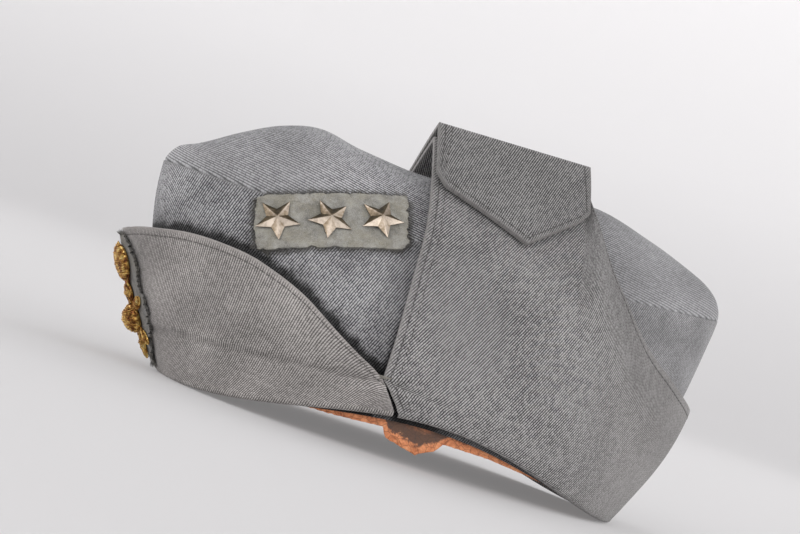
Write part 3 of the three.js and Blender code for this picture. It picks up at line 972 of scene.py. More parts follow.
class Strand:
    """Short bent strands of fibre, for felt and frayed edges."""

    def __init__(self, seed: int) -> None:
        """Makes a few strands to choose from, in an order that the seed sets."""
        self.random = random.Random(seed)
        self.stamps = [self._bent(math.radians(turn)) for turn in (25, 60, 100, 150)]

    @staticmethod
    def _bent(turn: float) -> Stamp:
        """Makes a strand of length 1 along Z from the origin, bent through an angle."""
        bm = bmesh.new()
        reach = 1 / turn
        ring = bmesh.ops.create_circle(bm, segments=3, radius=1)
        bmesh.ops.spin(
            bm, geom=ring["verts"] + bm.edges[:], cent=(reach, 0, 0), axis=(0, 1, 0),
            dvec=(0, 0, 0), angle=turn, steps=3, use_merge=False, use_duplicate=False,
        )
        bmesh.ops.holes_fill(bm, edges=bm.edges[:], sides=3)
        return Stamp(bm)

    def plant(
        self, bm: Mesh, place: Vector, out: Vector, length: float, width: float
    ) -> None:
        """Adds a strand.

        Args:
            bm: The mesh that it goes into.
            place: Its root, in the pattern's millimetres.
            out: The direction that it starts in.
            length: How long it is.
            width: How thick it is.
        """
        spin = Vector([self.random.uniform(-1, 1) for _ in range(3)])
        side = out.cross(spin).normalized()
        size = Vector((width, width, length)) * METRE
        self.random.choice(self.stamps).press(bm, basis(side, out, in_frame(place), size))


def only(items: Iterable[object], kind: type) -> list:
    """Picks the items of one kind."""
    return [item for item in items if isinstance(item, kind)]


def tube(bm: Mesh, path: Sequence[Vector], radius: float, sides: int) -> None:
    """Runs a round tube along a path, with its length and turn as cloth coordinates.

    Args:
        bm: The mesh that it goes into.
        path: Its points, in the pattern's millimetres.
        radius: Its radius.
        sides: The number of its sides.
    """
    layer = bm.loops.layers.uv.get("cloth") or bm.loops.layers.uv.new("cloth")
    frames = []
    side = Vector((0.3, 0.2, 1)).cross(path[1] - path[0]).normalized()
    for k, place in enumerate(path):
        ahead = (path[min(k + 1, len(path) - 1)] - path[max(k - 1, 0)]).normalized()
        up = ahead.cross(side).normalized()
        side = up.cross(ahead).normalized()
        narrow = 0.45 if k in (0, len(path) - 1) else 1.0
        turn = Matrix((side, up, ahead)).transposed().to_4x4()
        size = Matrix.Diagonal((radius * narrow * METRE, radius * narrow * METRE, METRE, 1))
        frames.append(Matrix.Translation(in_frame(place)) @ turn @ size)
    ring = bmesh.ops.create_circle(bm, segments=sides, radius=1)["verts"]
    edges = list({edge for vert in ring for edge in vert.link_edges})
    bmesh.ops.transform(bm, matrix=frames[0], verts=ring)
    ends = [edges]
    walked = 0.0
    for k, (before, after) in enumerate(zip(frames, frames[1:])):
        made = bmesh.ops.extrude_edge_only(bm, edges=edges)["geom"]
        verts, faces = only(made, bmesh.types.BMVert), only(made, bmesh.types.BMFace)
        bmesh.ops.transform(bm, matrix=after @ before.inverted(), verts=verts)
        step = (path[k + 1] - path[k]).length
        fresh = set(verts)
        edges = [
            edge for edge in only(made, bmesh.types.BMEdge)
            if all(vert in fresh for vert in edge.verts)
        ]
        for face in faces:
            for loop in face.loops:
                ahead = loop.vert in fresh
                loop[layer].uv = (walked + (step if ahead else 0.0), 0.0)
        walked += step
    ends.append(edges)
    for rim in ends:
        bmesh.ops.holes_fill(bm, edges=rim, sides=sides)


class NodeBench:
    """Builds one material from nodes."""

    def __init__(self, name: str) -> None:
        """Starts an empty material.

        Args:
            name: The material's name.
        """
        self.material = bpy.data.materials.new(name)
        self.material.use_nodes = True
        self.tree = self.material.node_tree
        self.tree.nodes.clear()
        self.shader = self.add("BsdfPrincipled")
        self.put(self.add("OutputMaterial").inputs["Surface"], self.shader.outputs["BSDF"])

    def put(self, socket: bpy.types.NodeSocket, value: object) -> None:
        """Sets an input to a number, a colour or another node's output.

        Args:
            socket: The input.
            value: What goes into it, or None to leave it as it is.
        """
        if isinstance(value, bpy.types.NodeSocket):
            self.tree.links.new(value, socket)
        elif value is not None:
            socket.default_value = value

    def add(self, kind: str, *values: object, **settings: object) -> bpy.types.Node:
        """Adds a node.

        Args:
            kind: Its kind.
            values: What goes into its first inputs.
            settings: Its own settings.

        Returns:
            The node.
        """
        node = self.tree.nodes.new(f"ShaderNode{kind}")
        for name, setting in settings.items():
            setattr(node, name, setting)
        for socket, value in zip(node.inputs, values):
            self.put(socket, value)
        return node

    def fill(self, node: bpy.types.Node, **inputs: object) -> bpy.types.Node:
        """Sets inputs of a node, named with underscores for spaces, and gives it back."""
        for name, value in inputs.items():
            self.put(node.inputs[name.replace("_", " ")], value)
        return node

    def shade(self, **inputs: object) -> None:
        """Sets inputs of the shader, named with underscores for spaces."""
        self.fill(self.shader, **inputs)

    def math(self, operation: str, a: object, b: object = None) -> object:
        """Works with one or two numbers."""
        return self.add("Math", a, b, operation=operation).outputs[0]

    def times(self, a: object, b: object, more: object = None) -> object:
        """Multiplies two numbers, and adds a third to them where it is given."""
        operation = "MULTIPLY" if more is None else "MULTIPLY_ADD"
        return self.add("Math", a, b, more, operation=operation).outputs[0]

    def range(self, value: object, low: float, high: float, to: tuple[float, float]) -> object:
        """Maps a number from the range of low to high to another range, and keeps it inside."""
        return self.add("MapRange", value, low, high, *to).outputs[0]

    def mark(self, name: str) -> object:
        """Reads one of the piece's marks."""
        return self.add("Attribute", attribute_name=name).outputs["Fac"]

    def cloth(self) -> tuple[object, object]:
        """Reads the piece's place on the flat cloth, in millimetres across and along."""
        split = self.add("SeparateXYZ", self.add("UVMap", uv_map="cloth").outputs[0])
        return split.outputs[0], split.outputs[1]

    def place(self) -> object:
        """Reads the place on the object, in metres."""
        return self.add("TexCoord").outputs["Object"]

    def vector(self, x: object, y: object, z: object = 0.0) -> object:
        """Joins three numbers into a vector."""
        return self.add("CombineXYZ", x, y, z).outputs[0]

    def clouds(
        self, vector: object, scale: float, detail: float = 2.0, rough: float = 0.5
    ) -> object:
        """Reads a Noise Texture, with finer layers as detail and their strength as rough."""
        inputs = {"Vector": vector, "Scale": scale, "Detail": detail, "Roughness": rough}
        return self.fill(self.add("TexNoise"), **inputs).outputs["Fac"]

    def cells(self, vector: object, scale: float, feature: str, output: str) -> object:
        """Reads one output of a Voronoi Texture that measures a feature."""
        node = self.add("TexVoronoi", feature=feature)
        return self.fill(node, Vector=vector, Scale=scale).outputs[output]

    def chance(self, vector: object) -> object:
        """Gives a random number for each whole-numbered vector."""
        return self.fill(self.add("TexWhiteNoise"), Vector=vector).outputs["Value"]

    def ramp(self, value: object, stops: Stops) -> object:
        """Adds a Color Ramp.

        Args:
            value: The number that it reads.
            stops: The place and colour of each stop.

        Returns:
            Its colour.
        """
        node = self.add("ValToRGB", value)
        elements = node.color_ramp.elements
        while len(elements) < len(stops):
            elements.new(1.0)
        for element, (place, color) in zip(elements, stops):
            element.position = place
            element.color = (*color, 1.0)
        return node.outputs[0]

    def blend(self, share: object, a: object, b: object, mode: str = "MIX") -> object:
        """Mixes two colours.

        Args:
            share: How much of the second is used.
            a: The first colour.
            b: The second colour.
            mode: How they are mixed.

        Returns:
            The mixed colour.
        """
        node = self.add("Mix", share, data_type="RGBA", blend_type=mode)
        for socket, value in zip((node.inputs[6], node.inputs[7]), (a, b)):
            self.put(socket, (*value, 1.0) if isinstance(value, tuple) else value)
        return node.outputs[2]

    def grey(self, value: object) -> object:
        """Makes a grey colour of a number."""
        return self.add("CombineColor", value, value, value).outputs[0]

    def bump(self, height: object, distance: float, strength: float) -> None:
        """Gives the shader a relief, with a depth in metres and a share of it that is used."""
        node = self.fill(self.add("Bump"), Height=height, Distance=distance, Strength=strength)
        self.shade(Normal=node.outputs[0])


@dataclass(frozen=True)
class WoolTwill:
    """Grey wool twill: straight slanting lines of pale yarn on a dark ground."""

    name: str
    light: Color
    dark: Color
    worn: Color
    pitch: float = 1.06
    float_length: float = 2.1
    stitch_at: float = STITCH_MM

    def build(self) -> Material:
        """Makes the material."""
        bench = NodeBench(self.name)
        across, along = bench.cloth()
        place = bench.place()
        waver = bench.clouds(place, 45.0, 2.0)
        across = bench.times(waver, 0.35, across)
        line = bench.math("DIVIDE", across, self.pitch)
        number = bench.math("FLOOR", line)
        hill = bench.math("SINE", bench.times(bench.math("FRACT", line), math.pi))
        rib = bench.range(hill, 0.3, 0.95, (0.0, 1.0))
        own = bench.times(bench.chance(bench.vector(number, 3.0)), 0.7)
        own = bench.times(number, 0.37, own)
        run = bench.math("ADD", bench.math("DIVIDE", along, self.float_length), own)
        piece = bench.chance(bench.vector(number, bench.math("FLOOR", run), 7.0))
        gap = bench.range(bench.math("FRACT", run), 0.0, 0.3, (0.35, 1.0))
        rib = bench.times(rib, gap)
        slub = bench.clouds(bench.vector(across, bench.times(along, 0.4)), 1.1, 3.0)
        slope = bench.times(across, 0.8, along)
        yarn = bench.math("SINE", bench.times(slope, 9.0))
        shade = bench.times(yarn, 0.04, rib)
        clouds = bench.clouds(place, 26.0, 4.0, 0.6)
        for chance, amount in ((piece, 0.34), (slub, 0.6), (clouds, 0.45)):
            shade = bench.times(bench.math("SUBTRACT", chance, 0.5), amount, shade)
        color = bench.blend(bench.range(shade, 0.0, 1.0, (0.0, 1.0)), self.dark, self.light)
        rub = bench.times(bench.mark("wear"), bench.range(slub, 0.35, 0.6, (0.6, 0.95)))
        color = bench.blend(rub, color, self.worn)
        # The tone mark multiplies the colour: it carries painted shade under and beside the flaps,
        # at the seam and on the tab, as well as uneven tone.
        color = bench.blend(1.0, color, bench.grey(bench.mark("tone")), "MULTIPLY")
        # Painted shade: the cloth is darkened along the stitch groove, at stitch_at from the edge.
        off = bench.math("ABSOLUTE", bench.math("SUBTRACT", bench.mark("edge_mm"), self.stitch_at))
        color = bench.blend(bench.range(off, 0.1, 0.7, (0.35, 0.0)), color, self.dark)
        groove = bench.range(off, 0.0, 1.1, (0.0, 1.0))
        raised = bench.times(rib, bench.math("SUBTRACT", 1.0, rub))
        relief = bench.times(raised, 0.3, bench.times(groove, 0.35))
        relief = bench.times(yarn, 0.03, relief)
        relief = bench.times(slub, 0.2, relief)
        bench.shade(Base_Color=color, Roughness=0.92, Specular_IOR_Level=0.2)
        bench.shade(Sheen_Weight=0.1, Sheen_Roughness=0.5)
        bench.bump(relief, 0.0005, 0.7)
        return bench.material


@dataclass(frozen=True)
class Felt:
    """Matted felt with loose fibres."""

    name: str
    light: Color
    dark: Color

    def build(self) -> Material:
        """Makes the material."""
        bench = NodeBench(self.name)
        place = bench.place()
        mat = bench.clouds(place, 2600.0, 3.0, 0.7)
        blots = bench.clouds(place, 160.0, 4.0, 0.65)
        both = bench.times(blots, 0.6, bench.times(mat, 0.5))
        color = bench.ramp(both, ((0.36, self.dark), (0.7, self.light)))
        stain = bench.range(bench.clouds(place, 110.0, 5.0, 0.7), 0.42, 0.66, (0.0, 0.6))
        stained = tuple(c * s for c, s in zip(self.light, (0.62, 0.58, 0.46)))
        color = bench.blend(stain, color, stained)
        dust = bench.range(bench.clouds(place, 900.0, 2.0, 0.8), 0.62, 0.78, (0.0, 0.5))
        color = bench.blend(dust, color, tuple(min(c * 1.5, 0.8) for c in self.light))
        bench.shade(Base_Color=color, Roughness=0.96, Specular_IOR_Level=0.1)
        bench.shade(Sheen_Weight=0.25, Sheen_Roughness=0.6)
        bench.bump(bench.times(blots, 0.7, mat), 0.0006, 0.7)
        return bench.material


@dataclass(frozen=True)
class WornLeather:
    """Orange-brown leather whose face has cracked and flaked off."""

    name: str = "worn_leather_band"

    def build(self) -> Material:
        """Makes the material."""
        bench = NodeBench(self.name)
        place = bench.place()
        flake = bench.clouds(place, 330.0, 5.0, 0.72)
        grain = bench.cells(place, 1400.0, "F1", "Distance")
        crack = bench.cells(place, 260.0, "DISTANCE_TO_EDGE", "Distance")
        color = bench.ramp(flake, (
            (0.28, (0.17, 0.05, 0.022)), (0.4, (0.55, 0.18, 0.07)),
            (0.58, (0.82, 0.33, 0.15)), (0.75, (0.85, 0.5, 0.3)),
        ))
        edge = bench.range(crack, 0.0, 0.06, (0.55, 0.0))
        color = bench.blend(edge, color, (0.12, 0.035, 0.018))
        height = bench.times(flake, -9.0, bench.mark("edge_mm"))
        bare = bench.times(
            bench.range(height, -1.0, 0.4, (0.0, 0.9)), bench.range(height, 5.0, 9.0, (1.0, 0.25))
        )
        color = bench.blend(bare, color, (0.075, 0.055, 0.045))
        color = bench.blend(1.0, color, bench.grey(bench.mark("tone")), "MULTIPLY")
        relief = bench.times(flake, 1.0, bench.times(grain, 0.25))
        bench.shade(Base_Color=color, Roughness=bench.range(flake, 0.35, 0.65, (0.55, 0.9)))
        bench.bump(relief, 0.0007, 0.8)
        return bench.material


@dataclass(frozen=True)
class TarnishedMetal:
    """Pressed star metal: worn silver-gold ridges and dark tarnish, set by the wear mark, which
    also carries painted reflection, bright on facets that face down and dark on those that face up.
    """

    name: str = "tarnished_star_metal"

    def build(self) -> Material:
        """Makes the material."""
        bench = NodeBench(self.name)
        place = bench.place()
        x, y = bench.cloth()
        turn = bench.math("ARCTAN2", y, x)
        rays = bench.math("SINE", bench.times(turn, 55.0))
        grit = bench.clouds(place, 3200.0, 2.0, 0.6)
        blots = bench.clouds(place, 420.0, 4.0, 0.65)
        # worn holds painted reflection, high on facets that face down and low on those that face
        # up, as well as rubbing on the ridges.
        worn = bench.times(bench.mark("wear"), 0.55, bench.times(blots, 0.75))
        color = bench.ramp(worn, (
            (0.3, (0.035, 0.03, 0.022)), (0.5, (0.15, 0.115, 0.07)),
            (0.7, (0.38, 0.3, 0.215)), (0.95, (0.74, 0.645, 0.54)),
        ))
        bench.shade(Base_Color=color, Metallic=bench.range(worn, 0.25, 0.5, (0.6, 1.0)))
        bench.shade(Roughness=bench.range(worn, 0.3, 0.8, (0.58, 0.42)))
        relief = bench.times(rays, 0.3, bench.times(grit, 0.6))
        bench.bump(relief, 0.0002, 0.7)
        return bench.material


@dataclass(frozen=True)
class Bullion:
    """Gold bullion: tight turns of fine wire, dulled and darkened in places."""

    name: str = "gold_bullion_purl"
    turn: float = 0.42

    def build(self) -> Material:
        """Makes the material."""
        bench = NodeBench(self.name)
        place = bench.place()
        along, _ = bench.cloth()
        turns = bench.math("SINE", bench.times(along, 2 * math.pi / self.turn))
        dull = bench.clouds(place, 380.0, 4.0, 0.7)
        color = bench.ramp(dull, (
            (0.38, (0.17, 0.055, 0.025)), (0.49, (0.55, 0.27, 0.07)),
            (0.57, (0.96, 0.66, 0.2)), (0.7, (1.0, 0.86, 0.46)),
        ))
        # Painted shade: darkens the grooves between the wire's turns.
        groove = bench.range(turns, -1.0, 0.2, (0.45, 0.0))
        color = bench.blend(groove, color, (0.08, 0.035, 0.012))
        bench.shade(Base_Color=color, Metallic=0.85)
        bench.shade(Roughness=bench.range(dull, 0.3, 0.7, (0.55, 0.3)))
        bench.bump(turns, 0.00016, 0.9)
        return bench.material


@dataclass(frozen=True)
class Thread:
    """Twisted sewing thread."""

    name: str
    color: Color

    def build(self) -> Material:
        """Makes the material."""
        bench = NodeBench(self.name)
        ply = bench.clouds(bench.place(), 5200.0, 2.0)
        dim = tuple(c * 0.55 for c in self.color)
        bench.shade(Base_Color=bench.ramp(ply, ((0.35, dim), (0.65, self.color))))
        bench.shade(Roughness=0.8, Specular_IOR_Level=0.25)
        bench.bump(ply, 0.0001, 0.6)
        return bench.material


@dataclass(frozen=True)
class Horn:
    """Dull dark horn, for the button that hardly shows."""

    name: str = "dull_horn"

    def build(self) -> Material:
        """Makes the material."""
        bench = NodeBench(self.name)
        veins = bench.clouds(bench.place(), 240.0, 4.0)
        color = bench.ramp(veins, ((0.35, (0.03, 0.026, 0.02)), (0.7, (0.12, 0.1, 0.075))))
        bench.shade(Base_Color=color, Roughness=bench.range(veins, 0.3, 0.7, (0.35, 0.55)))
        bench.bump(veins, 0.0001, 0.4)
        return bench.material


@dataclass(frozen=True)
class Paper:
    """The pale matt surface of the studio, which glows: painted light that brightens the wall and
    lifts the shade on the floor.
    """

    name: str = "studio_paper"
    color: Color = (0.88, 0.87, 0.875)
    floor: float = 0.6
    floor_glow: float = 0.2
    glow: float = 0.34

    def build(self) -> Material:
        """Makes the material."""
        bench = NodeBench(self.name)
        height = bench.add("SeparateXYZ", bench.place()).outputs[2]
        floor = tuple(c * self.floor for c in self.color)
        # Painted light: the paper glows, less on the floor than up the wall.
        glow = bench.range(height, 0.0, 0.4, (self.floor_glow, self.glow))
        bench.shade(Base_Color=bench.ramp(height, ((0.0, floor), (0.9, self.color))))
        bench.shade(Emission_Color=(*self.color, 1.0), Emission_Strength=glow)
        bench.shade(Roughness=0.95, Specular_IOR_Level=0.1)
        return bench.material


@dataclass(frozen=True)
class Finishes:
    """Every material of the cap."""

    crown: Material
    top: Material
    front: Material
    neck: Material
    patch: Material
    badge: Material
    red: Material
    leather: Material
    star: Material
    bullion: Material
    thread: Material
    pale_thread: Material
    horn: Material

    @classmethod
    def build(cls) -> "Finishes":
        """Makes every material."""
        return cls(
            crown=WoolTwill(
                "crown_wool_twill",
                (0.47, 0.468, 0.478), (0.013, 0.013, 0.015), (0.24, 0.238, 0.24),
            ).build(),
            # Painted light: the top panel's twill is lighter than the side panels' cloth, for the
            # light that falls on the top.
            top=WoolTwill(
                "crown_top_wool_twill_painted_light",
                (0.57, 0.57, 0.585), (0.02, 0.02, 0.022), (0.26, 0.26, 0.265), pitch=1.24,
            ).build(),
            front=WoolTwill(
                "front_flap_wool_twill",
                (0.475, 0.449, 0.434), (0.09, 0.084, 0.079), (0.31, 0.29, 0.275),
                pitch=1.08, float_length=1.15,
            ).build(),
            neck=WoolTwill(
                "neck_flap_wool_twill",
                (0.445, 0.435, 0.43), (0.0145, 0.014, 0.0145), (0.26, 0.25, 0.243),
                float_length=1.6,
            ).build(),
            patch=Felt("patch_felt_cloth", (0.5, 0.49, 0.45), (0.15, 0.144, 0.126)).build(),
            badge=Felt("badge_felt_cloth", (0.24, 0.233, 0.22), (0.05, 0.048, 0.045)).build(),
            red=Felt("badge_red_cloth", (0.5, 0.07, 0.04), (0.18, 0.02, 0.015)).build(),
            leather=WornLeather().build(),
            star=TarnishedMetal().build(),
            bullion=Bullion().build(),
            thread=Thread("grey_thread", (0.12, 0.115, 0.11)).build(),
            pale_thread=Thread("pale_thread", (0.3, 0.285, 0.25)).build(),
            horn=Horn().build(),
        )


@dataclass(frozen=True)
class Assembly:
    """A part of the cap, which is built over the pattern and dressed in its finishes."""

    pattern: CapPattern
    finishes: Finishes


@dataclass(frozen=True)
class Crown(Assembly):
    """The crown: two side panels and the oval top panel.

    flap_painted_shade is painted shade: it gives how light the cloth is by its distance past a
    flap's edge, dark under the flaps and in their shadow just past the edges. flap_shade_shift
    moves it by the flap's gap from the crown, flap_shade_rough and flap_shade_grain make it
    uneven, flap_shade_clear is the distance where no front flap is near, and flap_shade_narrow
    narrows it at the neck flap.
    """

    cloth: float = 1.6
    rim: float = 0.25
    side_columns: int = 230
    side_rows: int = 84
    top_rows: int = 104
    seam_gap: float = 0.25
    side_lean: float = 66.0
    top_lean: float = 171.0
    allowance: tuple[tuple[float, float], ...] = (
        (-4.6, 1.85), (-3.1, 1.85), (-1.5, 1.75), (-0.1, 1.3),
        (0.1, 0.6), (0.35, 0.15), (0.8, 0.02),
    )
    # Painted shade: dark under the flaps and just past their edges, full light further off.
    flap_painted_shade: Table = Table((-45, 1), (-28, 0.2), (2.2, 0.14), (3.4, 0.5), (5, 0.9), (9, 1))
    flap_shade_shift: float = 0.23
    flap_shade_rough: float = 2.0
    flap_shade_grain: float = 3.5
    flap_shade_clear: float = 10.0
    flap_shade_narrow: float = 1.6
    # Painted shade in the seam's gap.
    seam_painted_shade: float = 0.36
    seam_wear: float = 0.8
    top_start: float = 0.052
    side_dents: tuple[Dent, ...] = (
        Dent(-96, 62, 30, 14, 70, -0.9),
        Dent(-50, 52, 26, 12, -25, -0.8),
        Dent(-70, 78, 30, 10, 15, 0.5),
        Dent(110, 76, 26, 14, 60, -0.7),
    )
    top_dents: tuple[Dent, ...] = (
        Dent(-104, 106, 20, 8, 20, -0.7),
        Dent(-58, 112, 26, 8, 5, 0.6),
        Dent(104, 122, 22, 10, -25, -0.8),
    )

    def side(self, side: Side) -> None:
        """Builds one side panel.

        Args:
            side: Which of the two.
        """
        trim = 1 - self.seam_gap / 100
        sheet = ClothSheet(
            lambda u, v: self.pattern.crown_side(side, u * math.pi, v * trim),
            self.side_columns, self.side_rows,
        )
        sheet.flatten(meridian=-52, lean=self.side_lean, facing=-side, slant=-0.27)
        sheet.press(self.side_dents, wave=0.5, length=34, hold=14, hold_top=12)
        sheet.mark_border(Border.TOP, stitched=False)
        # Painted shade: the lowest few millimetres of the side panel, inside the flaps, are
        # darkened.
        low_painted_shade = Table((0, 0.3), (4.4, 0.36), (7, 1), (200, 1))
        follow = self.pattern.crown_follow
        sheet.set_tone(lambda p: low_painted_shade.straight(p.z - self.pattern.arch(p.x) * follow))
        steps = 12
        front = [
            self.pattern.neck_flap(Layer.UNDER, side, 0, k / steps) for k in range(steps + 1)
        ]
        neck_edge = Table(*[(place.z, place.x) for place in front])
        edge, top = self.pattern.front_edge, self.pattern.front_top[side]

        def shaded(place: Vector) -> float:
            """Paints shade on the cloth under the flaps and a little past their edges, where their
            shadow falls.
            """
            rough = self.flap_shade_rough * noise.noise(place / self.flap_shade_grain)
            share = min(max((edge.centre - place.x) / edge.half_length, -1), 1)
            gap = max(edge.half_width * math.sqrt(1 - share * share) - abs(place.y), 0)
            x = place.x - self.flap_shade_shift * gap
            share = min(max((edge.centre - x) / edge.half_length, -1), 1)
            turn = math.degrees(math.acos(share))
            over = place.z - top.smooth(turn) if turn < top.places[-1] else self.flap_shade_clear
            ahead = self.flap_shade_narrow * (neck_edge.smooth(place.z) - x)
            return self.flap_painted_shade.straight(over + rough) * self.flap_painted_shade.straight(ahead + rough)

        sheet.set_tone(shaded)
        sheet.smudge(amount=0.32, length=17)
        sheet.rub(Table((40, 0), (90, 0.65), (150, 0.7)))
        wall = Wall(self.cloth, self.rim, side).build(sheet)
        name = side.name.lower()
        finished(f"crown_cloth_{name}", wall, self.finishes.crown,
                 [f"crown_side_{name}"])

    def turned_under(self, side: Side, angle: float, row: int) -> Vector:
        """Gives a point of the top panel's seam allowance, which lies inside the side panel.

        Args:
            side: The side of the cap.
            angle: From 0 at the front to pi at the back.
            row: Its row, from the allowance's edge.

        Returns:
            The point, in millimetres.
        """
        along, inward = self.allowance[row]
        near, step = min(max(angle, 0.02), math.pi - 0.02), 0.01
        face = self.pattern.crown_side
        seam = face(side, angle, 1)
        down = face(side, near, 0.97) - face(side, near, 1)
        level = face(side, near + step, 1) - face(side, near - step, 1)
        normal = down.cross(level).normalized()
        if normal.dot(Vector((self.pattern.seam.centre - seam.x, -seam.y, -20))) < 0:
            normal.negate()
        if along < 0:
            place = seam + down.normalized() * -along
        else:
            above = self.pattern.crown_top(side, angle, self.top_start)
            place = seam + (above - seam).normalized() * along
        place += normal * inward
        place.y = side * max(side * place.y, 0)
        return place

    def top(self) -> None:
        """Builds the top panel, from the left seam over the crest to the right seam."""
        turned = len(self.allowance)

        def surface(u: float, v: float) -> Vector:
            """Runs from the left seam at 0 over the crest to the right seam at 1."""
            side = Side.LEFT if v < 0.5 else Side.RIGHT
            row = round(min(v, 1 - v) * self.top_rows)
            if row < turned:
                return self.turned_under(side, u * math.pi, row)
            share = mix(self.top_start, 1, (row - turned) / (self.top_rows / 2 - turned))
            return self.pattern.crown_top(side, u * math.pi, share)

        sheet = ClothSheet(surface, self.side_columns, self.top_rows)
        sheet.flatten(meridian=10, lean=self.top_lean, facing=1)
        sheet.press(self.top_dents, wave=0.5, length=34, hold=18, hold_top=18)
        sheet.rub(Table((-140, 0.55), (-75, 0.5), (-45, 0), (30, 0), (85, 0.75), (150, 0.8)))
        sheet.smudge(amount=0.2, length=24)
        # Painted shade: the seam allowance rows, seen only through the seam's gap, are darkened and
        # given the flat worn colour.
        for wear, tone in zip(sheet.values["wear"], sheet.values["tone"]):
            for row in range(turned - 2):
                wear[row] = wear[-1 - row] = self.seam_wear
                tone[row] = tone[-1 - row] = self.seam_painted_shade
        wall = Wall(self.cloth, self.rim).build(sheet)
        finished("crown_cloth_top", wall, self.finishes.top, ["crown_top"])

    def build(self) -> None:
        """Builds the whole crown."""
        self.side(Side.LEFT)
        self.side(Side.RIGHT)
        self.top()


@dataclass(frozen=True)
class FrontFlap(Assembly):
    """The turned-up flap round the forehead, with its edge stitching."""

    cloth: float = 2.2
    rim: float = 0.8
    column_count: int = 260
    turn_steps: int = 6
    flap_steps: int = 50
    lean: Table = Table((0, 77), (17, 77), (26, 96), (80, 98))
    dents: tuple[Dent, ...] = (
        Dent(-78, 24.6, 62, 1.9, 8.3, -0.9),
        Dent(-78, 28.2, 62, 2.2, 8.3, 0.6),
        Dent(-31, 30.6, 9, 1.6, 14, -1.2),
        Dent(-33, 35.5, 12, 2.6, -12, 0.7),
        Dent(-90, 30, 30, 12, 12, 0.7),
        Dent(-104, 48, 20, 10, -20, -0.6),
    )

    def surface(self, u: float, v: float) -> Vector:
        """Runs through the turned-in edge and then up the flap.

        Args:
            u: From 0 at the left end to 1 at the right end.
            v: From 0 inside the fold to 1 at the top edge.

        Returns:
            The point, in millimetres.
        """
        turn = 2 * u - 1
        row = v * (self.turn_steps + self.flap_steps) / self.turn_steps
        if row >= 1:
            share = (row - 1) * self.turn_steps / self.flap_steps
            return self.pattern.front_flap(turn, share)
        side, angle = self.pattern.front_angle(turn)
        place = self.pattern.turned_in(angle, side, row * self.pattern.turn_rows)
        if abs(turn) < self.pattern.front_middle:
            place.y = 0
        return place

    def build(self) -> None:
        """Builds the flap and its stitches."""
        sheet = ClothSheet(self.surface, self.column_count, self.turn_steps + self.flap_steps)
        sheet.flatten(meridian=-90, lean=self.lean, facing=-1, slant=-0.45)
        sheet.press(self.dents, wave=0.55, length=38, hold=12, hold_top=0)
        sheet.smudge(amount=0.32, length=21)
        sheet.mark_border(Border.TOP)
        wall = Wall(self.cloth, self.rim).build(sheet)
        finished("front_flap_cloth", wall, self.finishes.front, ["front_flap"])
        bm = bmesh.new()
        stitching = Stitching()
        stitching.sew(bm, sheet.line(Border.TOP, STITCH_MM), self.cloth / 2)
        finished("front_flap_stitches", bm, self.finishes.thread)


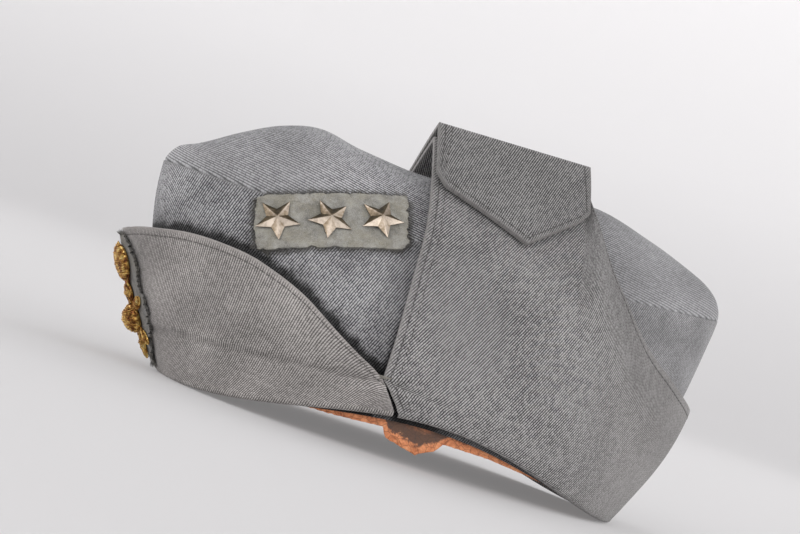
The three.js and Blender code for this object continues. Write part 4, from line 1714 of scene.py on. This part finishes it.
@dataclass(frozen=True)
class NeckFlaps(Assembly):
    """The two turned-up neck flaps, which cross over the ridge, and the tab of the upper one."""

    cloth: float = 2.2
    rim: float = 0.8
    ridge_steps: int = 60
    rear_steps: int = 110
    turn_steps: int = 6
    flap_steps: int = 112
    end_steps: int = 40
    lean: float = 59.0
    tab_lean: float = 69.0
    # Painted shade on the tab.
    tab_painted_shade: float = 0.8
    dents: tuple[Dent, ...] = (
        Dent(-12, 32.2, 17, 1.7, -5, -1.7),
        Dent(-14, 35.8, 10, 1.8, 16, 0.7),
        Dent(-12, 28.2, 13, 2.0, -26, 0.8),
        Dent(-2, 34, 14, 4, -28, -0.8),
        Dent(6, 40, 24, 7, -30, 0.8),
        Dent(20, 92, 40, 14, 60, -0.8),
        Dent(58, 60, 34, 16, 40, 0.8),
        Dent(78, 44, 30, 9, -38, -0.7),
        Dent(110, 34, 20, 10, 20, 0.5),
    )

    def around(self, u: float) -> float:
        """Spreads the grid's columns so that one of them stands at the ridge's rear end."""
        split = self.ridge_steps / (self.ridge_steps + self.rear_steps)
        if u <= split:
            return self.pattern.ridge_share * u / split
        return mix(self.pattern.ridge_share, 1, (u - split) / (1 - split))

    def panel(self, layer: Layer, side: Side) -> ClothSheet:
        """Lays out a flap from its fold to the ridge and the rear edge.

        Args:
            layer: The lower or the upper flap.
            side: The side that it is on.

        Returns:
            The sheet.
        """
        def surface(u: float, v: float) -> Vector:
            """Runs through the turned-in edge and then up the flap."""
            around = self.around(u)
            row = v * (self.turn_steps + self.flap_steps) / self.turn_steps
            if row < 1:
                angle = self.pattern.neck_angle(around)
                return self.pattern.turned_in(angle, side, row * self.pattern.turn_rows)
            share = (row - 1) * self.turn_steps / self.flap_steps
            return self.pattern.neck_flap(layer, side, around, share)

        rows = self.turn_steps + self.flap_steps
        return ClothSheet(surface, self.ridge_steps + self.rear_steps, rows)

    def end(self, layer: Layer, side: Side) -> ClothSheet:
        """Lays out the end of a flap from one side that is folded over the ridge."""
        surface = partial(self.pattern.roof_end, layer, side)
        return ClothSheet(surface, self.ridge_steps, self.end_steps)

    def flap(self, layer: Layer, side: Side) -> None:
        """Builds one flap with its stitches.

        Args:
            layer: The lower or the upper flap.
            side: The side that it is on.
        """
        panel, end = self.panel(layer, side), self.end(layer, side)
        lean = self.tab_lean if layer is Layer.OVER else self.lean
        split = self.ridge_steps / (self.ridge_steps + self.rear_steps)
        panel.flatten(meridian=20, lean=lean, facing=-side)
        end.flatten(meridian=20, lean=lean, facing=side, rise=-1)
        if side is Side.LEFT:
            panel.press(self.dents, wave=0, length=40, hold=10, hold_top=0)
        panel.rub(Table((60, 0), (110, 0.55), (150, 0.65)))
        panel.smudge(amount=0.13, length=27)
        panel.mark_border(Border.START)
        panel.mark_border(Border.TOP, (split, 1.0))
        for border in (Border.START, Border.END, Border.TOP):
            end.mark_border(border)
        # Painted shade: the tab, the upper flap's folded-over end, is made darker than the rest of
        # the flap, for how light falls on its nap.
        if layer is Layer.OVER:
            end.set_tone(lambda p: self.tab_painted_shade)
        behind = self.pattern.ridge_rear + 2 * self.cloth
        wall = Wall(self.cloth, self.rim, side, behind - CENTRE.x).build(panel, end)
        name = side.name.lower()
        finished(f"neck_flap_cloth_{name}", wall, self.finishes.neck,
                 [f"neck_flap_{name}"])
        self.stitches(panel, end, name, split)

    def stitches(self, panel: ClothSheet, end: ClothSheet, name: str, split: float) -> None:
        """Sews the rows along a flap's edges.

        Args:
            panel: The flap.
            end: Its folded-over end.
            name: The side's name.
            split: Where the ridge ends along the flap.
        """
        stitching = Stitching()
        lift = self.cloth / 2
        bm = bmesh.new()
        for inset in (STITCH_MM, 2 * STITCH_MM):
            stitching.sew(bm, panel.line(Border.START, inset, (0.06, 1.0)), lift)
            stitching.sew(bm, end.line(Border.START, inset, (0.0, 0.9)), lift)
        stitching.sew(bm, panel.line(Border.TOP, STITCH_MM, (split, 1.0)), lift)
        stitching.sew(bm, end.line(Border.TOP, STITCH_MM, (0.05, 0.95)), lift)
        stitching.sew(bm, end.line(Border.END, STITCH_MM, (0.0, 0.9)), lift)
        finished(f"neck_flap_stitches_{name}", bm, self.finishes.thread)

    def tacks(self) -> None:
        """Sews the threads that hold the front flap's ends to the neck flaps."""
        bm = bmesh.new()
        for side, layer in ((Side.LEFT, Layer.UNDER), (Side.RIGHT, Layer.OVER)):
            for drop in (0.9, 0.935, 0.97, 1.0):
                ahead = self.pattern.front_flap(side * 0.985, drop)
                behind = min(
                    (self.pattern.neck_flap(layer, side, 0.012, k / 200) for k in range(20, 80)),
                    key=lambda place: abs(place.z - ahead.z - 0.4),
                )
                out = Vector((0, side, 0))
                path = [ahead, ahead + out * 1.3, behind + out * 1.3, behind]
                tube(bm, path, 0.2, 6)
        finished("notch_tack_threads", bm, self.finishes.pale_thread)

    def build(self) -> None:
        """Builds both flaps and dresses the button under the tab."""
        self.flap(Layer.UNDER, Side.LEFT)
        self.flap(Layer.OVER, Side.RIGHT)
        self.tacks()
        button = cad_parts["tab_button"]
        button.data.materials.clear()
        button.data.materials.append(self.finishes.horn)
        log.info("tab_button: dressed in horn")


@dataclass(frozen=True)
class Sweatband(Assembly):
    """The leather band inside, with its worn lower edge and the torn piece on the left."""

    thickness: float = 1.4
    rim: float = 0.4
    behind: float = 2.3
    height: float = 30.0
    slope: float = 90.0
    column_count: int = 480
    row_count: int = 22
    edge: Table = Table(
        (-102, 4.6), (-75, 6.5), (-60, 9.3), (-37, 10.8), (-13.5, 13.3), (15, 14.2),
        (36, 14.1), (57, 12), (68, 10.5), (88, 6.3), (105, 4.6), (120, 4.6),
    )
    tear: Table = Table(
        (-14, 13.3), (-12.2, 9.7), (-11, 9), (4.2, 6.1),
        (5.8, 7.4), (12, 10.2), (13.8, 13.8), (15, 14.2),
    )

    def lower_edge(self, side: Side, x: float) -> float:
        """Gives the height of the band's worn lower edge.

        Args:
            side: The side of the cap.
            x: The place along it.

        Returns:
            The height there.
        """
        torn = side is Side.LEFT and self.tear.places[0] < x < self.tear.places[-1]
        height = self.tear.straight(x) if torn else self.edge.straight(x)
        return height + 0.35 * noise.noise(Vector((x / 1.9, 3 * side, 0)))

    def surface(self, u: float, v: float) -> Vector:
        """Gives a point of the band.

        Args:
            u: From 0 at the front round the left and back, and on round the right.
            v: From 0 at the lower edge to 1 at the upper one.

        Returns:
            The point, in millimetres.
        """
        turn = u * 2 * math.pi
        side = Side.RIGHT if turn > math.pi else Side.LEFT
        angle = min(turn, 2 * math.pi - turn)
        x = self.pattern.rim.centre - self.pattern.rim.half_length * math.cos(angle)
        face = self.pattern.crown_side
        foot = face(side, angle, 0).z
        share = mix(self.lower_edge(side, x) - foot, self.height, v) / self.slope
        place = face(side, angle, share)
        near, step = min(max(angle, 0.02), math.pi - 0.02), 0.001
        along = face(side, near + step, share) - face(side, near - step, share)
        rise = face(side, near, share + step) - face(side, near, share - step)
        normal = along.cross(rise).normalized()
        inward = Vector((self.pattern.rim.centre - place.x, -place.y, 0))
        if normal.dot(inward) < 0:
            normal.negate()
        if math.sin(angle) < 0.012:
            place.y = 0
            normal.y = 0
        return place + normal * self.behind

    def build(self) -> None:
        """Builds the band."""
        sheet = ClothSheet(self.surface, self.column_count, self.row_count)
        sheet.mark_border(Border.FOOT)
        wall = Wall(self.thickness, self.rim).build(sheet)
        finished("sweatband_leather", wall, self.finishes.leather, ["sweatband"])


@dataclass(frozen=True)
class RankPatch(Assembly):
    """The felt patch on the left of the crown, with frayed edges and loose fibres."""

    clear: float = 1.25
    felt: float = 1.4
    rim: float = 0.2
    column_count: int = 72
    row_count: int = 32
    fray: float = 0.034

    def surface(self, u: float, v: float) -> Vector:
        """Gives a point under the patch, with a ragged outline.

        Args:
            u: From 0 at the front to 1 at the rear.
            v: From 0 at the lower edge to 1 at the upper one.

        Returns:
            The point, in millimetres.
        """
        coarse = noise.noise(Vector((u * 14, v * 9, 4)))
        ragged = coarse + 0.6 * noise.noise(Vector((u * 40, v * 24, 8)))
        wide, tall = 2 * u - 1, 2 * v - 1
        corner = abs(wide) ** 26 * abs(tall) ** 11
        wide *= 1 - 0.04 * corner + 2 * self.fray * ragged * abs(wide) ** 8
        tall *= 1 - 0.09 * corner + 3 * self.fray * ragged * abs(tall) ** 8
        share, up = min(max(wide, -1), 1) / 2 + 0.5, min(max(tall, -1), 1) / 2
        return self.pattern.patch(share, up)

    def build(self) -> None:
        """Builds the patch and its loose fibres."""
        sheet = ClothSheet(self.surface, self.column_count, self.row_count)
        middle = self.clear + self.felt / 2
        for points, normals in zip(sheet.points, sheet.normals):
            for j, normal in enumerate(normals):
                points[j] = points[j] + normal * (middle + 0.25 * noise.noise(points[j] / 6))
        sheet.find_normals()
        wall = Wall(self.felt, self.rim).build(sheet)
        finished("rank_patch_felt", wall, self.finishes.patch, ["rank_patch"])
        strand = Strand(5)
        bm = bmesh.new()
        for border in Border:
            line = sheet.line(border, 0.2)
            inner = sheet.line(border, 2.0)
            for (place, normal), (inside, _) in zip(line, inner):
                for _ in range(12):
                    out = (place - inside).normalized() + normal * strand.random.uniform(-0.5, 0.6)
                    lift = strand.random.uniform(-0.9, 0.6)
                    length = strand.random.uniform(0.6, 3.0)
                    shift = Vector([strand.random.uniform(-0.6, 0.6) for _ in range(3)])
                    strand.plant(bm, place + normal * lift + shift, out, length, 0.06)
        for _ in range(1500):
            i = strand.random.randrange(1, sheet.column_count)
            j = strand.random.randrange(1, sheet.row_count)
            place = sheet.points[i][j] + sheet.normals[i][j] * self.felt / 2
            tilt = Vector([strand.random.uniform(-1.6, 1.6) for _ in range(3)])
            out = sheet.normals[i][j] + tilt
            strand.plant(bm, place, out, strand.random.uniform(0.5, 1.1), 0.04)
        finished("rank_patch_fibres", bm, self.finishes.badge)


@dataclass(frozen=True)
class Star(Assembly):
    """One pressed metal star, with a ridge along each arm."""

    number: int
    share: float
    up: float
    turn: float
    reach: float = 10.6
    waist: float = 0.48
    edge: float = 0.5
    peak: float = 3.1
    points: int = 5
    clear: float = 2.95

    def face(self) -> Mesh:
        """Makes the star flat on its back, in millimetres."""
        bm = bmesh.new()
        layer = bm.loops.layers.uv.new("cloth")
        wear = bm.loops.layers.float.new("wear")
        count = 2 * self.points
        ring = bmesh.ops.create_circle(bm, segments=count, radius=self.reach, cap_ends=True)
        tips = ring["verts"][::2]
        for vert in ring["verts"][1::2]:
            vert.co *= self.waist
        aim = math.atan2(-1, 0) - math.atan2(tips[0].co.y, tips[0].co.x)
        bmesh.ops.rotate(bm, verts=bm.verts[:], cent=(0, 0, 0), matrix=Matrix.Rotation(aim, 3, "Z"))
        made = bmesh.ops.extrude_face_region(bm, geom=bm.faces[:])["geom"]
        bmesh.ops.translate(
            bm, verts=only(made, bmesh.types.BMVert), vec=(0, 0, self.edge)
        )
        bmesh.ops.recalc_face_normals(bm, faces=bm.faces[:])
        top = [face for face in only(made, bmesh.types.BMFace) if face.is_valid]
        bmesh.ops.poke(bm, faces=top, offset=self.peak - self.edge)
        bmesh.ops.recalc_face_normals(bm, faces=bm.faces[:])
        sharp = [e for e in bm.edges if e.calc_face_angle() > math.radians(12)]
        bmesh.ops.bevel(
            bm, geom=sharp, offset=0.1, offset_type="OFFSET", segments=1, profile=0.5,
            affect="EDGES", material=-1, clamp_overlap=True,
        )
        bmesh.ops.subdivide_edges(bm, edges=bm.edges[:], cuts=2, use_grid_fill=True)
        bmesh.ops.triangulate(bm, faces=[f for f in bm.faces if len(f.verts) > 4])
        # The wear mark carries painted reflection: facets that face down on the cap are made bright
        # and those that face up dark. The sides are set dark, and the arms' ridges brighter as
        # rubbed metal.
        for face in bm.faces:
            for loop in face.loops:
                place = loop.vert.co
                turn = math.atan2(place.x, -place.y) * self.points / (2 * math.pi)
                off = abs(turn - round(turn)) * 2 * place.xy.length / self.reach
                bare = 0.42 - 1.1 * face.normal.y + 0.25 * face.normal.x + 0.4 * math.exp(-off * 9)
                loop[wear] = min(max(bare, 0.0), 1.0) if place.z > self.edge * 0.8 else 0.1
                loop[layer].uv = place.xy
        return bm

    def build(self) -> None:
        """Builds the star and stands it on the patch."""
        pattern = self.pattern
        along = self.reach / (pattern.patch(0, 0) - pattern.patch(1, 0)).length
        rise = self.reach / 26.0

        def at(x: float, y: float) -> Vector:
            """Gives a place under the star, in shares of its reach."""
            return pattern.patch(self.share + x * along, self.up + y * rise)

        centre = at(0, 0)
        right = (at(1, 0) - at(-1, 0)).normalized()
        out = right.cross(at(0, 1) - at(0, -1)).normalized()
        rim = [at(math.cos(a / 6 * math.pi), math.sin(a / 6 * math.pi)) for a in range(12)]
        lift = self.clear + max(0.0, *[(place - centre).dot(out) for place in rim])
        place = basis(right, out, in_frame(centre + out * lift), Vector((METRE,) * 3))
        bm = self.face()
        turned = place @ Matrix.Rotation(math.radians(self.turn), 4, "Z")
        bmesh.ops.transform(bm, matrix=turned, verts=bm.verts[:])
        name = f"star_{self.number}"
        finished(f"{name}_metal", bm, self.finishes.star, [name], smooth=False)


@dataclass(frozen=True)
class Pad:
    """One padded piece of the badge, laid with bullion."""

    name: str
    across: float
    up: float
    wide: float
    tall: float
    raised: float
    turn: float


@dataclass(frozen=True)
class Badge(Assembly):
    """The embroidered badge: ragged felt, and gold bullion laid over padding."""

    lift: float = 1.55
    felt: float = 1.2
    rim: float = 0.35
    column_count: int = 36
    row_count: int = 110
    clear: float = 0.5
    purl: float = 0.36
    outline: Table = Table(
        (2.5, 4), (10, 9), (20, 14.5), (31, 15.5), (38, 12.5), (46, 14), (55, 12), (62, 5)
    )
    pads: tuple[Pad, ...] = (
        Pad("badge_plume", 0, 49.8, 9.5, 9, 4.2, 0),
        Pad("badge_collar", 0, 35.4, 5, 4.8, 2.8, 0),
        Pad("badge_boss", 0, 23.5, 7, 6.6, 7, 0),
        Pad("badge_tail", 0, 10.4, 3.4, 6, 2.4, 0),
        Pad("badge_leaf_upper_left", -9.6, 30.6, 2.3, 4.8, 1.9, 52),
        Pad("badge_leaf_upper_right", 9.6, 30.6, 2.3, 4.8, 1.9, -52),
        Pad("badge_leaf_lower_left", -8.6, 15.2, 2.2, 4.4, 1.9, -46),
        Pad("badge_leaf_lower_right", 8.6, 15.2, 2.2, 4.4, 1.9, 46),
    )
    cord_rows: tuple[tuple[tuple[float, float], ...], ...] = (
        ((4.6, 0.7), (8, 2.2), (12, 2.6), (16.5, 1.4), (19, 3)),
        ((28, 3.4), (31, 2.2), (35, 4.4), (39, 3.2), (43, 5.5), (46, 7.5)),
        ((25, 5.6), (28.5, 6.6), (31, 9), (34, 12.2)),
        ((12, 11.2), (15, 8.6), (18, 6), (21, 5.2)),
        ((52, 6.5), (56, 4.4), (59.5, 1.6)),
    )

    def backing(self) -> None:
        """Builds the ragged felt."""
        low, high = self.outline.places[0], self.outline.places[-1]

        def surface(u: float, v: float) -> Vector:
            """Runs across the felt and up it."""
            up = mix(low, high, v)
            side = 2 * u - 1
            own = 5 * (side > 0)
            coarse = noise.noise(Vector((up / 2.6, own, 1)))
            ragged = coarse + 0.6 * noise.noise(Vector((up, own, 4)))
            half = self.outline.smooth(up) + 0.8 - 4.2 * abs(ragged)
            curl = 0.9 * abs(side) ** 6 * noise.noise(Vector((up / 4, own, 9)))
            return self.pattern.on_front(side * half, up, self.lift + self.felt / 2 + curl)

        sheet = ClothSheet(surface, self.column_count, self.row_count)
        wall = Wall(self.felt, self.rim).build(sheet)
        finished("badge_felt_backing", wall, self.finishes.badge, ["badge_backing"])
        strand = Strand(11)
        bm = bmesh.new()
        for border in Border:
            line, inner = sheet.line(border, 0.2), sheet.line(border, 1.6)
            for (place, normal), (inside, _) in zip(line, inner):
                for _ in range(5):
                    out = (place - inside).normalized() + normal * strand.random.uniform(-0.5, 0.8)
                    length = strand.random.uniform(0.7, 2.4)
                    strand.plant(bm, place, out, length, 0.07)
        finished("badge_felt_fibres", bm, self.finishes.badge)

    def pad(self, pad: Pad) -> None:
        """Builds one padded piece: its padding and the purl that covers it.

        Args:
            pad: Its place and size.
        """
        foot = self.lift + self.felt + self.clear
        lean = math.radians(pad.turn)

        def turned(a: float, b: float) -> tuple[float, float]:
            """Turns shares of the padding's reach into distances across and up."""
            x, y = a * pad.wide, b * pad.tall
            across = x * math.cos(lean) - y * math.sin(lean)
            return across, x * math.sin(lean) + y * math.cos(lean)

        def over(a: float, b: float, extra: float) -> Vector:
            """Gives a place over the padding, in shares of its reach across and up."""
            across, up = turned(a, b)
            dome = math.sqrt(max(1 - a * a - b * b, 0))
            lumps = noise.noise(Vector((across / 2.2, up / 2.2, pad.up)))
            lift = foot + extra + (pad.raised - self.purl) * (0.15 + 0.85 * dome)
            lift += 0.8 * lumps * dome
            return self.pattern.on_front(pad.across + across, pad.up + up, lift)

        bm = bmesh.new()
        bm.loops.layers.uv.new("cloth")
        made = bmesh.ops.create_uvsphere(bm, u_segments=20, v_segments=10, radius=1)
        for vert in made["verts"]:
            a, b = vert.co.x * 0.96, vert.co.y * 0.96
            if vert.co.z > -0.01:
                place = over(a, b, -0.3)
            else:
                across, up = turned(a, b)
                place = self.pattern.on_front(pad.across + across, pad.up + up, foot)
            vert.co = in_frame(place)
        bmesh.ops.recalc_face_normals(bm, faces=bm.faces[:])
        rows = max(int(pad.tall / self.purl), 3)
        chance = random.Random(pad.name)
        for k in range(rows):
            b = mix(-0.93, 0.93, k / (rows - 1))
            reach = math.sqrt(1 - b * b)
            tilt, radius = chance.uniform(-0.13, 0.13), self.purl * chance.uniform(0.75, 1.15)
            start, end = -reach * chance.uniform(0.86, 1.1), reach * chance.uniform(0.86, 1.1)
            steps = max(int(reach * pad.wide * 1.6), 4)
            path = [
                over(mix(start, end, s / steps), b + tilt * (s / steps - 0.5), radius * 0.55)
                for s in range(steps + 1)
            ]
            tube(bm, path, radius, 8)
        finished(f"{pad.name}_bullion", bm, self.finishes.bullion, [pad.name])

    def cords(self) -> None:
        """Builds the cords that join the padded pieces, and the red cloth between two of them."""
        bm = bmesh.new()
        for rows in self.cord_rows:
            for side in Side:
                line = Table(*rows)
                low, high = line.places[0], line.places[-1]
                steps = int((high - low) / 0.6)
                path = []
                for k in range(steps + 1):
                    up = mix(low, high, k / steps)
                    lift = self.lift + self.felt + self.clear + 0.9 + 0.4 * math.sin(up + side)
                    path.append(self.pattern.on_front(side * line.smooth(up), up, lift))
                tube(bm, path, self.purl * 1.5, 8)
        finished("badge_cords_bullion", bm, self.finishes.bullion)
        bm = bmesh.new()
        bmesh.ops.create_uvsphere(bm, u_segments=14, v_segments=8, radius=1)
        place, ahead = (self.pattern.on_front(0, 40.6, lift) for lift in (3.6, 4.6))
        size = Vector((2.4, 1.5, 1.3)) * METRE
        turn = basis(Vector((0, 1, 0)), ahead - place, in_frame(place), size)
        bmesh.ops.transform(bm, matrix=turn, verts=bm.verts[:])
        finished("badge_red_cloth_spot", bm, self.finishes.red)

    def build(self) -> None:
        """Builds the whole badge."""
        self.backing()
        for pad in self.pads:
            self.pad(pad)
        self.cords()


@dataclass(frozen=True)
class Studio:
    """A plain pale sweep of paper, soft light, and the camera at the photograph's angle."""

    target: Vector = Vector((-0.014585, 0.0, 0.082))
    azimuth: float = -13.0
    elevation: float = 0.0
    roll: float = 19.2
    distance: float = 1.1
    mm_per_px: float = 0.47
    image_width: int = 800
    sensor: float = 36.0

    def paper(self) -> None:
        """Builds the floor and the wall that it curves up into."""
        bm = bmesh.new()
        radius, bend, height = 3.4, 1.4, 4.6
        corner = radius - bend
        middle = bmesh.ops.create_vert(bm, co=(0, 0, 0))["vert"]
        out = bmesh.ops.extrude_vert_indiv(bm, verts=middle)["verts"]
        bmesh.ops.translate(bm, verts=out, vec=(corner, 0, 0))
        steps = 12
        for k in range(steps):
            before, after = (math.pi / 2 * n / steps for n in (k, k + 1))
            step = (
                bend * (math.sin(after) - math.sin(before)), 0,
                bend * (math.cos(before) - math.cos(after)),
            )
            out = bmesh.ops.extrude_vert_indiv(bm, verts=out)["verts"]
            bmesh.ops.translate(bm, verts=out, vec=step)
        out = bmesh.ops.extrude_vert_indiv(bm, verts=out)["verts"]
        bmesh.ops.translate(bm, verts=out, vec=(0, 0, height - bend))
        bmesh.ops.spin(
            bm, geom=bm.verts[:] + bm.edges[:], cent=(0, 0, 0), axis=(0, 0, 1), dvec=(0, 0, 0),
            angle=2 * math.pi, steps=72, use_merge=True, use_duplicate=False,
        )
        bmesh.ops.remove_doubles(bm, verts=bm.verts[:], dist=1e-4)
        bmesh.ops.recalc_face_normals(bm, faces=bm.faces[:])
        floor = min(bm.faces, key=lambda face: face.calc_center_median().length)
        if floor.normal.z < 0:
            bmesh.ops.reverse_faces(bm, faces=bm.faces[:])
        bmesh.ops.translate(bm, verts=bm.verts[:], vec=(0, 0, -0.0001))
        sweep = placed("studio_sweep", bm, Paper().build())

    def light(self, name: str, place: Vector, size: float, watts: float) -> None:
        """Hangs a square lamp that faces the cap.

        Args:
            name: The lamp's name.
            place: Where it hangs.
            size: The length of its sides.
            watts: Its power.
        """
        data = bpy.data.lights.new(name, "AREA")
        data.size = size
        data.energy = watts
        lamp = bpy.data.objects.new(name, data)
        turn = (self.target - place).to_track_quat("-Z", "Y")
        lamp.matrix_world = Matrix.LocRotScale(place, turn, None)
        bpy.context.scene.collection.objects.link(lamp)

    def lights(self) -> None:
        """Sets the lamps, two in front, two behind, and the sky."""
        self.light("softbox_left", Vector((-1.6, -0.9, 0.5)), 1.1, 9.4)
        self.light("softbox_right", Vector((1.35, -1.15, 0.42)), 1.1, 11.8)
        self.light("softbox_rear_left", Vector((-1.2, 1.2, 1.0)), 1.0, 5.5)
        self.light("softbox_rear_right", Vector((1.4, 1.0, 1.2)), 1.0, 8.0)
        world = bpy.data.worlds.new("studio_sky")
        world.use_nodes = True
        sky = world.node_tree.nodes["Background"]
        sky.inputs["Color"].default_value = (0.985, 0.99, 1.0, 1.0)
        sky.inputs["Strength"].default_value = 0.34
        bpy.context.scene.world = world

    def camera(self) -> None:
        """Sets the camera at the photograph's angle, with its roll."""
        turn, lift, roll = (math.radians(a) for a in (self.azimuth, self.elevation, self.roll))
        back = Vector((
            math.sin(turn) * math.cos(lift), -math.cos(turn) * math.cos(lift), math.sin(lift)
        ))
        level = Vector((math.cos(turn), math.sin(turn), 0))
        upright = back.cross(level)
        right = level * math.cos(roll) + upright * math.sin(roll)
        up = upright * math.cos(roll) - level * math.sin(roll)
        data = bpy.data.cameras.new("camera")
        width = self.image_width * self.mm_per_px * METRE
        data.sensor_width = self.sensor
        data.lens = self.sensor * self.distance / width
        camera = bpy.data.objects.new("camera", data)
        axes = Matrix((right, up, back)).transposed().to_4x4()
        camera.matrix_world = Matrix.Translation(self.target + back * self.distance) @ axes
        bpy.context.scene.collection.objects.link(camera)
        bpy.context.scene.camera = camera

    def build(self) -> None:
        """Builds the studio."""
        self.paper()
        self.lights()
        self.camera()
        bpy.context.scene.view_settings.view_transform = "Standard"


def main() -> None:
    """Builds every piece of the cap in order."""
    logging.basicConfig(level=logging.INFO, format="%(name)s %(message)s")
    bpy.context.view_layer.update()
    pattern = CapPattern()
    Studio().build()
    finishes = Finishes.build()
    Crown(pattern, finishes).build()
    FrontFlap(pattern, finishes).build()
    NeckFlaps(pattern, finishes).build()
    Sweatband(pattern, finishes).build()
    RankPatch(pattern, finishes).build()
    places = ((0.167, 0.01, 0), (0.513, -0.01, -12), (0.827, 0.03, 8))
    for number, (share, up, turn) in enumerate(places, 1):
        Star(pattern, finishes, number, share, up, turn).build()
    Badge(pattern, finishes).build()


if __name__ == "__main__":
    main()
